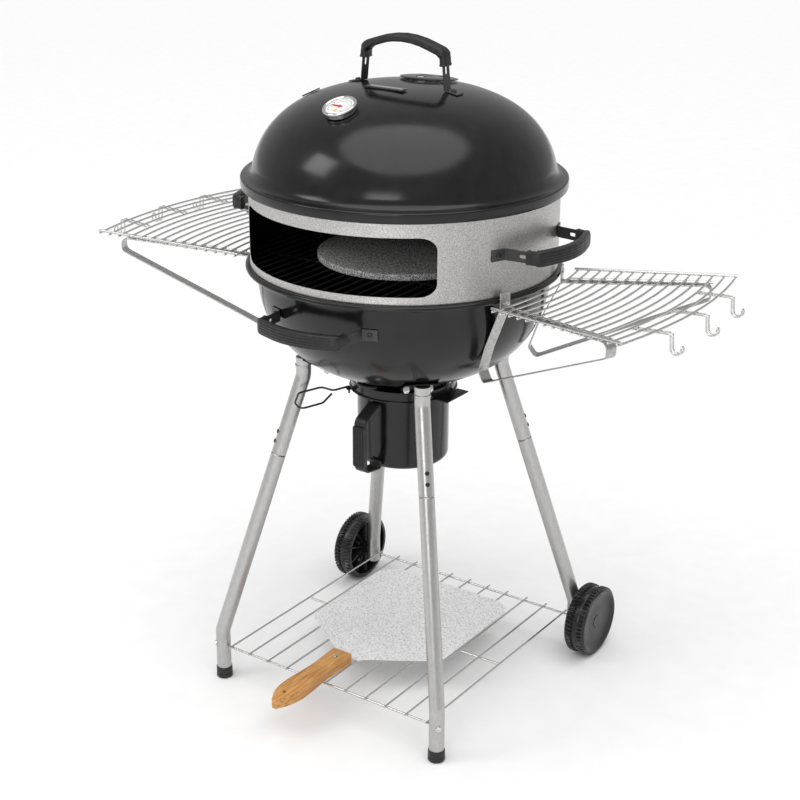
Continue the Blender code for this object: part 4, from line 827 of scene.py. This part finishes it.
# ---- ash catcher -----------------------------------------------------------
def make_catcher():
    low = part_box("ash_collar")[0].z
    top = low + 0.0195
    outer = COLLAR_R
    band = offset(outer, low, [(0.0030, 0.0), (-0.0065, 0.0), (-0.0065, 0.0020), (-0.0020, 0.0020)])
    band += offset(outer, top, [(-0.0020, -0.0004), (-0.0014, 0.0), (-0.0006, 0.0), (0.0, -0.0006)])
    band += offset(outer, low, [(0.0, 0.0032), (0.0006, 0.0026), (0.0027, 0.0024), (0.0030, 0.0018)])
    near = (outer - 0.0010, -0.0350, low + 0.0005), (outer + 0.0240, 0.0350, low + 0.0030)
    far = (outer + 0.0200, -0.0350, low + 0.0005), (outer + 0.0225, 0.0350, low + 0.0012)
    parts = [turned(band, 96), block(*near, None, 0.0008), block(*far, None, 0.0002)]
    post_top = bowl_under(outer - 0.0055) - 0.0004
    for degrees in (0.0, 90.0, 180.0):
        place = turn_z(degrees) @ shift(outer - 0.0010, 0.0, 0.0)
        parts.append(rod(0.0045, low + 0.0040, post_top, 24, place))
    ear = (outer - 0.0010, -0.0070, low + 0.0040), (0.1110, 0.0070, low + 0.0060)
    parts.append(block(*ear, turn_z(EAR_DEG), 0.0004))
    show("collar_band", joined(parts), "stand", [ENAMEL], ["ash_collar"], 30.0)

    low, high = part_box("ash_pot")
    wall = POT_R
    flange = high.x
    outside = [(flange, high.z - 0.0004), (flange, high.z - 0.0018)]
    outside += offset(wall, high.z, [(0.0012, -0.0021), (0.0, -0.0034)])
    outside += [(wall, low.z + 0.0140)]
    outside += arc((wall - 0.0140, low.z + 0.0140), 0.0140, 0.0, -pi / 2.0, 8)[1:]
    outside.append((0.0, low.z))
    inside = [(wall - 0.0015, high.z), (wall - 0.0015, low.z + 0.0140)]
    inside += arc((wall - 0.0140, low.z + 0.0140), 0.0125, 0.0, -pi / 2.0, 8)[1:]
    inside.append((0.0, low.z + 0.0015))
    mesh = turned(outside[::-1] + [(flange - 0.0004, high.z)] + inside, 112)
    inner_faces(mesh)
    show("pot_shell", mesh, "pot", [ENAMEL, INNER_DARK], ["ash_pot"], 40.0)

    reach = -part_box("ash_pot_handle")[0].y - 0.0080
    seat = POT_R + 0.0034
    floor = low.z
    corners = [(seat, floor + 0.0180), (seat, floor + 0.0040), (reach, floor + 0.0110)]
    corners += [(reach, floor + 0.1080), (seat, floor + 0.1320), (seat, floor + 0.1180)]
    path = rounded([(x, 0.0, z) for x, z in corners], [0.004, 0.014, 0.014, 0.004], 8)
    loop = strap(path, 0.0050, 0.0252, False, turn_z(-90.0))
    outline = []
    ribs = 7
    for index in range(ribs * 4 + 1):
        y = 0.0128 * (1.0 - 2.0 * index / (ribs * 4.0))
        depth = 0.0012 if index % 4 in (2, 3) else 0.0
        crown = 0.0020 * (y / 0.0128) ** 4
        outline.append((reach + 0.0078 - depth - crown, y))
    back = [(-0.0036, -0.0128), (-0.0058, -0.0108), (-0.0058, 0.0108), (-0.0036, 0.0128)]
    outline += offset(reach, 0.0, back)
    middle = reach + 0.0010
    rings = []
    levels = ((0.0205, 0.82), (0.0225, 0.97), (0.0250, 1.0), (0.0950, 1.0), (0.0978, 0.97), (0.0998, 0.82))
    for z, size in levels:
        rings.append([Vector((middle + (x - middle) * size, y * size, floor + z)) for x, y in outline])
    grip = loft(rings, False, turn_z(-90.0))
    show("pot_grip", joined([loop, grip]), "pot", [PLASTIC], ["ash_pot_handle"], 28.0)


def make_sweeper():
    low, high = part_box("ash_sweeper")
    level = low.z + 0.0010
    hub_top = bowl_under(BASE_VENT_R) + SHELL + 0.0070
    hub = [(0.0, low.z), (0.0088, low.z), (0.0090, low.z + 0.0004)]
    parts = [turned([*hub, (0.0090, hub_top - 0.0008), (0.0082, hub_top), (0.0, hub_top)], 40)]
    for degrees in (30.0, 150.0, 270.0):
        inner_z = bowl_under(BASE_VENT_R) + SHELL + 0.0045
        path = [(0.004, 0.0, inner_z), (BASE_VENT_R, 0.0, inner_z)]
        path += [(r, 0.0, bowl_under(r) + SHELL + 0.0035) for r in (0.085, 0.100, 0.1145)]
        parts.append(strap(path, 0.0018, 0.0238, False, turn_z(degrees)))
    parts.append(strap([(0.004, 0.0, level), (0.104, 0.0, level)], 0.0020, 0.0120, False, turn_z(ARM_DEG)))
    show("sweeper_metal", joined(parts), "sweeper", [STRAP_STEEL], ["ash_sweeper"], 30.0)

    low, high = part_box("lever_knob")
    tall = high.z - low.z
    rings = []
    shape = [(0.0, 0.72), (0.06, 0.86), (0.18, 0.96), (0.36, 1.0), (0.62, 0.99), (0.82, 0.94), (0.94, 0.84)]
    for share, size in [*shape, (1.0, 0.70)]:
        ring = circle(size, low.z + tall * share, 40)
        rings.append([(KNOB_REACH + 0.0115 * x, 0.0228 * y, z) for x, y, z in ring])
    knob = loft(rings, False, turn_z(ARM_DEG))
    show("lever_grip", knob, "sweeper", [PLASTIC], ["lever_knob"], 40.0)
    corners = [(0.0950, -0.0130), (0.0950, 0.0130), (0.1080, 0.0130)]
    line = rounded([(x, y, high.z - 0.0010) for x, y in corners], [0.004], 4)
    rail = [turn_z(ARM_DEG) @ point for point in line]
    wires("lever_rail", [(rail, 0.0011, False)], "sweeper", BRIGHT, [])


def make_bail():
    low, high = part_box("latch_bail")
    wire = 0.0019
    level = high.z - wire * 1.05
    start = turn_z(EAR_DEG) @ at(0.1050, 0.0)
    run = [(-0.0720, -0.1190), (-0.1000, -0.1180), (-0.1150, -0.1660), (-0.0900, -0.2080)]
    run += [(-0.0640, -0.2260), (-0.0500, -0.1790), (-0.0640, -0.1350)]
    points = [(start.x, start.y, low.z), (start.x, start.y, level), *[(x, y, level) for x, y in run]]
    path = rounded(points, [wire * 1.3, 0.008, 0.008, 0.014, 0.014, 0.009, 0.012], 6)
    wires("bail_wire_bent", [(path, wire, False)], "bail", BAIL_STEEL, ["latch_bail"])


# ---- side trays ------------------------------------------------------------
def tray_z(x):
    return TRAY_ROOT[2] + TRAY_RISE * (x - TRAY_ROOT[0])


def edge_y(x):
    return TRAY_ROOT[1] + TRAY_FLARE * (x - TRAY_ROOT[0])


def arc_end(radius):
    """The x where an arc about the tray's centre meets its edge wire."""
    base = TRAY_ROOT[1] - TRAY_FLARE * TRAY_ROOT[0]
    a = 1.0 + TRAY_FLARE * TRAY_FLARE
    b = 2.0 * (TRAY_FLARE * base - TRAY_CENTRE_X)
    c = TRAY_CENTRE_X ** 2 + base * base - radius * radius
    return (-b + sqrt(b * b - 4.0 * a * c)) / (2.0 * a)


def make_tray(side, sign):
    runs = []
    outer = TRAY_INNER_R + TRAY_PITCH * (TRAY_WIRES - 1)
    for index in range(TRAY_WIRES):
        radius = TRAY_INNER_R + TRAY_PITCH * index
        x_end = arc_end(radius)
        half = asin(edge_y(x_end) / radius) + 0.0040 / radius
        path = []
        for step in range(25):
            angle = half * (step / 12.0 - 1.0)
            x = TRAY_CENTRE_X + radius * cos(angle)
            path.append((sign * x, radius * sin(angle), tray_z(x)))
        runs.append((path, 0.0020, False))
    rise = 0.0038
    for y_sign in (-1.0, 1.0):
        near, far = arc_end(TRAY_INNER_R) - 0.005, arc_end(outer) + 0.004
        runs.append(([(sign * x, y_sign * edge_y(x), tray_z(x) + rise) for x in (near, far)], 0.0025, False))
        cross = []
        for reach in (TRAY_CENTRE_X + TRAY_INNER_R + 0.005, BRACKET_OUT + 0.002):
            x = reach * cos(radians(BRACKET_DEG))
            cross.append((sign * x, y_sign * reach * sin(radians(BRACKET_DEG)), tray_z(x) - rise))
        runs.append((cross, 0.0025, False))
    wires("tray_wires_" + side, runs, "stand", CHROME, ["tray_" + side])


def make_bracket(name, degrees):
    turn = cos(radians(BRACKET_DEG))
    under = 0.0070 + STRAP / 2.0  # below the arcs, under the cross wire
    inner = BOWL[0] + 0.0232 + STRAP / 2.0
    inner_z = tray_z(inner * turn) - under
    outer_z = tray_z(BRACKET_OUT * turn) - under
    drop = (BOWL_RIM_Z - BRACKET_TOUCH_Z) / BOWL[1]
    touch = BOWL[0] * cos(asin(drop ** (BOWL[3] / 2.0))) ** (2.0 / BOWL[2]) + 0.0018
    corners = [
        (inner, inner_z), (BRACKET_OUT, outer_z), (BRACKET_OUT, outer_z - 0.0250), (0.2460, 0.6640),
        (0.2330, 0.6820), (touch, BRACKET_TOUCH_Z), (inner, inner_z),
    ]
    corners = [(x, 0.0, z) for x, z in corners]
    start = Vector(corners[0]).lerp(Vector(corners[1]), 0.5)
    path = rounded([start, *corners[1:], start], [0.0115, 0.0115, 0.0080, 0.0080, 0.0300, 0.0030], 8)
    loop = strap(path[:-1], STRAP, 0.0218, True, turn_z(degrees))
    tail = [(inner, 0.0, inner_z + up) for up in (-0.0004, 0.0290)]
    tail = strap(tail, STRAP, 0.0218, False, turn_z(degrees))
    spot = facing((0, 1, 0), (0, 0, 1), (1, 0, 0), (inner + STRAP * 0.45, 0.0, inner_z + 0.0200))
    screw = button(0.0042, 0.0024, turn_z(degrees) @ spot, 28, True)
    show(name + "_band", joined([loop, tail, screw]), "stand", [STRAP_STEEL], [name], 30.0)


def make_hook(name):
    low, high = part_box(name)
    sign = 1.0 if low.x > 0.0 else -1.0
    middle = (low.y + high.y) / 2.0
    outer = TRAY_INNER_R + TRAY_PITCH * (TRAY_WIRES - 1)
    x = TRAY_CENTRE_X + sqrt(outer * outer - middle * middle)
    half, out, drop, wire = 0.0048, 0.0210, 0.0320, 0.0015
    line = [(-0.0450, 0.0), (out, 0.0), (out, -drop), (out + 0.0180, -drop), (out + 0.0180, -drop + 0.0130)]
    points = [(px, half, pz) for px, pz in line] + [(px, -half, pz) for px, pz in reversed(line)]
    radii = [0.0040, 0.0075, 0.0075, half * 0.9, half * 0.9, 0.0075, 0.0075, 0.0040]
    tilt = Matrix.Rotation(-atan(TRAY_RISE), 4, "Y")
    place = shift(sign * x, middle, tray_z(x) - 0.0038) @ turn_z(0.0 if sign > 0.0 else 180.0) @ tilt
    path = [place @ point for point in rounded(points, radii, 6)]
    wires(name + "_wire", [(path, wire, False)], "stand", CHROME, [name])


def make_trays():
    for side, sign, base in (("right", 1.0, 0.0), ("left", -1.0, 180.0)):
        make_tray(side, sign)
        make_bracket("bracket_" + side + "_front", base - BRACKET_DEG * sign)
        make_bracket("bracket_" + side + "_rear", base + BRACKET_DEG * sign)
        for end in ("front", "middle", "rear"):
            make_hook("hook_" + side + "_" + end)


# ---- lid fittings ----------------------------------------------------------
def make_thermometer():
    place = dome_place(0.1650, -95.0, 0.0003)
    radius, high = DIAL_R, 0.0120
    profile = [(0.0, 0.0002)]
    profile += offset(radius, 0.0, [(-0.0020, 0.0002), (-0.0020, high * 0.40), (-0.0004, high * 0.48)])
    profile += arc((radius - 0.0026, high - 0.0026), 0.0026, 0.0, radians(110.0), 8)
    profile += [*offset(radius, high, [(-0.0048, -0.0010), (-0.0050, -0.0038)]), (0.0, high - 0.0038)]
    bezel = turned(profile, 96, place)
    show("thermometer_case", bezel, "lid", [BRIGHT], ["thermometer_bezel"], 30.0)
    face = high - 0.0030
    dial = rod(radius - 0.0054, face - 0.0006, face, 72, place)
    show("thermometer_face", dial, "lid", [DIAL], ["thermometer_dial"], 30.0)
    marks = []
    for index in range(41):
        long = index % 5 == 0
        start = 0.0178 if long else 0.0194
        turn = turn_z(-135.0 + 270.0 * index / 40.0 + 90.0)
        half = 0.00045 if long else 0.00028
        mark = (start, -half, face - 0.0001), (0.0216, half, face + 0.00012)
        marks.append(block(*mark, place @ turn, 0.00004))
    scale = [(0.0150, face), (0.0150, face + 0.0001), (0.0153, face + 0.0001), (0.0153, face)]
    marks.append(turned(scale, 64, place))
    show("thermometer_marks", joined(marks), "lid", [INK], (), 30.0)
    patch = arc((0.0, 0.0), 1.0, radians(-102.0), radians(-78.0), 12)
    rim = [Vector((x * 0.0150, y * 0.0150, face + 0.00012)) for x, y in patch]
    rim += [Vector((x * 0.0085, y * 0.0085, face + 0.00012)) for x, y in reversed(patch)]
    under = [point - at(0.0, 0.0002) for point in rim]
    show("thermometer_zone", loft([under, rim], False, place), "lid", [YELLOW], (), 30.0)

    low = face + 0.0003
    hand = [(-0.0180, 0.0), (-0.0140, 0.0012), (0.0000, 0.0019), (0.0055, 0.0013), (0.0060, 0.0)]
    outline = hand + [(x, -y) for x, y in reversed(hand[1:-1])]
    rings = [[Vector((x, y, z)) for x, y in outline] for z in (low + 0.0002, low + 0.0009)]
    hub = offset(0.0, low, [(0.0, 0.0), (0.0030, 0.0), (0.0030, 0.0008), (0.0024, 0.0012), (0.0, 0.0012)])
    pointer = joined([loft(rings, False, place), turned(hub, 40, place)])
    show("thermometer_pointer", pointer, "needle", [RED], ["thermometer_needle"], 30.0)


def make_lid_fittings():
    make_thermometer()
    rim, lift = DAMPER_R, 0.0012
    top = [(0.0, 0.0046), (0.0060, 0.0046), (0.0075, 0.0040), (rim * 0.45, 0.0040), (rim * 0.70, 0.0033)]
    profile = offset(0.0, lift, [*top, (rim * 0.88, 0.0022)])
    edge = [(-0.0010, 0.0012), (-0.0001, 0.0004), (-0.0008, -0.0002), (-0.0030, -0.0004)]
    profile += offset(rim, lift, edge)
    profile += offset(0.0, lift, [(rim * 0.80, 0.0010), (rim * 0.45, 0.0025), (0.0, 0.0030)])
    cap = cut(turned(profile, 96), vent_holes(32, 90.0, Matrix()))
    cap.transform(dome_place(DAMPER_REACH, 90.0))
    show("vent_cap", cap, "damper", [ENAMEL], ["lid_damper"], 40.0)

    tilt = Matrix.Rotation(dome_slope(BADGE_REACH), 4, "X")
    place = shift(0.0, -BADGE_REACH, dome_height(BADGE_REACH) + 0.0006) @ tilt
    plate = block((-0.0400, -0.0080, 0.0), (0.0400, 0.0080, 0.0020), place, 0.0007)
    show("badge_plate", plate, "lid", [BLACK_STRAP], ["lid_badge"], 30.0)
    trim = [block((-0.0360, -0.0030, 0.0018), (0.0360, 0.0036, 0.0026), place, 0.0003)]
    trim.append(block((-0.0392, 0.0062, 0.0010), (0.0392, 0.0074, 0.0024), place, 0.0003))
    show("badge_trim", joined(trim), "lid", [BRIGHT], (), 30.0)
    place = dome_place(0.1740, 196.0, 0.0003)
    clip = block((-0.0100, -0.0150, 0.0), (0.0100, 0.0150, 0.0025), place, 0.0008)
    show("edge_clip", clip, "lid", [PLASTIC], ["lid_clip"], 30.0)


# ---- peel ------------------------------------------------------------------
def make_peel():
    low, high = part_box("peel_blade")
    x0 = (low.x + high.x) / 2.0
    half = (high.x - low.x) / 2.0
    floor = low.z
    grip_low, grip_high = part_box("peel_handle")
    lift = (grip_high.z - grip_low.z - 0.0015) / 2.0
    neck, neck_y = 0.0280, -0.1450
    right = [(0.0, high.y), (half, high.y), (half, -0.0620), (neck, neck_y), (neck, neck_y - 0.001)]
    curve = rounded([(x, y, 0.0) for x, y in right], [0.045, 0.030, 0.012], 14)[:-1]
    end_y = curve[-1].y
    points = curve + [Vector((-point.x, point.y, 0.0)) for point in reversed(curve)][:-1]
    bm = bmesh.new()
    outline = [bm.verts.new((x0 + point.x, point.y, floor)) for point in points]
    bm.faces.new(outline[::-1])
    rows = [(outline[len(curve)], outline[len(curve) - 1])]
    for index in range(1, 9):
        share = index / 8.0
        ease = share * share * (3.0 - 2.0 * share)
        wide = neck + (neck * 0.62 - neck) * share
        y = end_y - 0.012 * share
        rows.append(tuple(bm.verts.new((x0 + s * wide, y, floor + lift * ease)) for s in (-1.0, 1.0)))
    rows.append(tuple(bm.verts.new((x0 + s * neck * 0.62, end_y - 0.060, floor + lift)) for s in (-1.0, 1.0)))
    for near, far in zip(rows, rows[1:]):
        bm.faces.new((near[0], near[1], far[1], far[0]))
    bmesh.ops.recalc_face_normals(bm, faces=bm.faces)
    bmesh.ops.solidify(bm, geom=bm.faces[:], thickness=-0.0015)
    show("peel_sheet", to_mesh("sheet", bm), "peel", [BLADE], ["peel_blade"], 30.0)

    low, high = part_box("peel_handle")
    thick = high.z - low.z
    start = high.y
    long = start - low.y
    shape = [(0.0, 0.0195), (0.0015, 0.0208), (0.004, 0.0215), (0.020, 0.0213)]
    shape += [(0.035, 0.0205), (0.050, 0.0196), (0.065, 0.0191), (0.080, 0.0190)]
    tip = [(-0.115, 0.0200), (-0.098, 0.0212), (-0.080, 0.0226), (-0.065, 0.0232), (-0.055, 0.0230)]
    tip += [(-0.045, 0.0222), (-0.035, 0.0204), (-0.025, 0.0176), (-0.017, 0.0143), (-0.010, 0.0108)]
    shape += offset(long, 0.0, [*tip, (-0.004, 0.0072), (0.0, 0.0048)])
    rings = []
    for back, wide in shape:
        edge = min(0.0013, wide / 5.0)
        ring = []
        corners = ((1.0, 1.0, 0.0), (-1.0, 1.0, 90.0), (-1.0, -1.0, 180.0), (1.0, -1.0, 270.0))
        for x_sign, z_sign, first in corners:
            for step in range(4):
                angle = radians(first + 30.0 * step)
                x = x_sign * (wide - edge) + edge * cos(angle)
                z = z_sign * (thick / 2.0 - edge) + edge * sin(angle)
                ring.append(Vector((x0 + x, start - back, low.z + thick / 2.0 + z)))
        rings.append(ring)
    handle = cut(loft(rings), [rod(0.0040, -0.03, 0.03, 32, shift(x0, low.y + 0.030, low.z))])
    show("peel_wood", handle, "peel", [OAK], ["peel_handle"], 40.0)

    low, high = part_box("peel_rivet")
    spot = shift(x0, (low.y + high.y) / 2.0, 0.0)
    head = [(0.0, 0.0), (0.0020, -0.0002), (0.0040, -0.0006), (0.0051, -0.0013), (0.0028, -0.0014)]
    profile = [*offset(0.0, high.z, head), (0.0028, low.z), (0.0, low.z)]
    show("peel_pin", turned(profile, 40, spot), "peel", [BRIGHT], ["peel_rivet"], 40.0)


# ---- stage -----------------------------------------------------------------
def softbox(name, spot, target, size, power):
    lamp = bpy.data.lights.new(name, "AREA")
    lamp.shape = "RECTANGLE"
    lamp.size, lamp.size_y = size
    lamp.energy = power
    obj = bpy.data.objects.new(name, lamp)
    obj.location = spot
    obj.rotation_mode = "QUATERNION"
    obj.rotation_quaternion = (Vector(target) - Vector(spot)).to_track_quat("-Z", "Y")
    bpy.context.scene.collection.objects.link(obj)


def make_stage():
    bm = bmesh.new()
    bmesh.ops.create_grid(bm, x_segments=8, y_segments=8, size=14.0)
    floor = bpy.data.meshes.new("floor")
    bm.to_mesh(floor)
    bm.free()
    floor.materials.append(finish("pale_floor", two(0.88, 0.90), (0.75, 0.85), 20.0, bump=(500.0, 0.00001)))
    obj = bpy.data.objects.new("floor", floor)
    obj.location = (0.0, 0.0, -0.0005)
    bpy.context.scene.collection.objects.link(obj)
    world = bpy.data.worlds.new("studio")
    bpy.context.scene.world = world
    world.use_nodes = True
    sky = world.node_tree.nodes["Background"]
    sky.inputs["Color"].default_value = (1.0, 1.0, 1.0, 1.0)
    sky.inputs["Strength"].default_value = 0.50
    sun = bpy.data.lights.new("overhead", "SUN")
    sun.energy = 2.0
    sun.angle = radians(70.0)
    lamp = bpy.data.objects.new("overhead", sun)
    lamp.rotation_euler = (radians(12.0), radians(8.0), 0.0)
    bpy.context.scene.collection.objects.link(lamp)
    softbox("key", (-2.2, -2.6, 3.2), (0.0, 0.0, 0.7), (1.4, 1.4), 28.0)
    softbox("front", (1.3, -3.6, 1.5), (0.0, 0.0, 0.9), (1.6, 1.2), 22.0)
    bpy.context.scene.view_settings.view_transform = "Standard"


def make_camera():
    """The viewpoint: 34.7 degrees round to the right, looking down by 21.4 degrees."""
    turn = radians(CAMERA_TURN)
    away, height = CAMERA_SPOT
    camera = bpy.data.cameras.new("camera")
    camera.sensor_width = 36.0
    camera.lens = CAMERA_LENS
    obj = bpy.data.objects.new("camera", camera)
    yaw, pitch, roll = (radians(angle) for angle in CAMERA_AIM)
    aim = Matrix.Rotation(yaw, 4, "Z") @ Matrix.Rotation(pitch, 4, "X") @ Matrix.Rotation(roll, 4, "Z")
    obj.matrix_world = shift(away * sin(turn), -away * cos(turn), height) @ aim
    bpy.context.scene.collection.objects.link(obj)
    bpy.context.scene.camera = obj


make_bowl()
make_ring()
make_lid()
make_handles()
make_inside()
make_legs()
make_rack()
make_wheel("left", -1.0)
make_wheel("right", 1.0)
make_catcher()
make_sweeper()
make_bail()
make_trays()
make_lid_fittings()
make_peel()
make_stage()
make_camera()
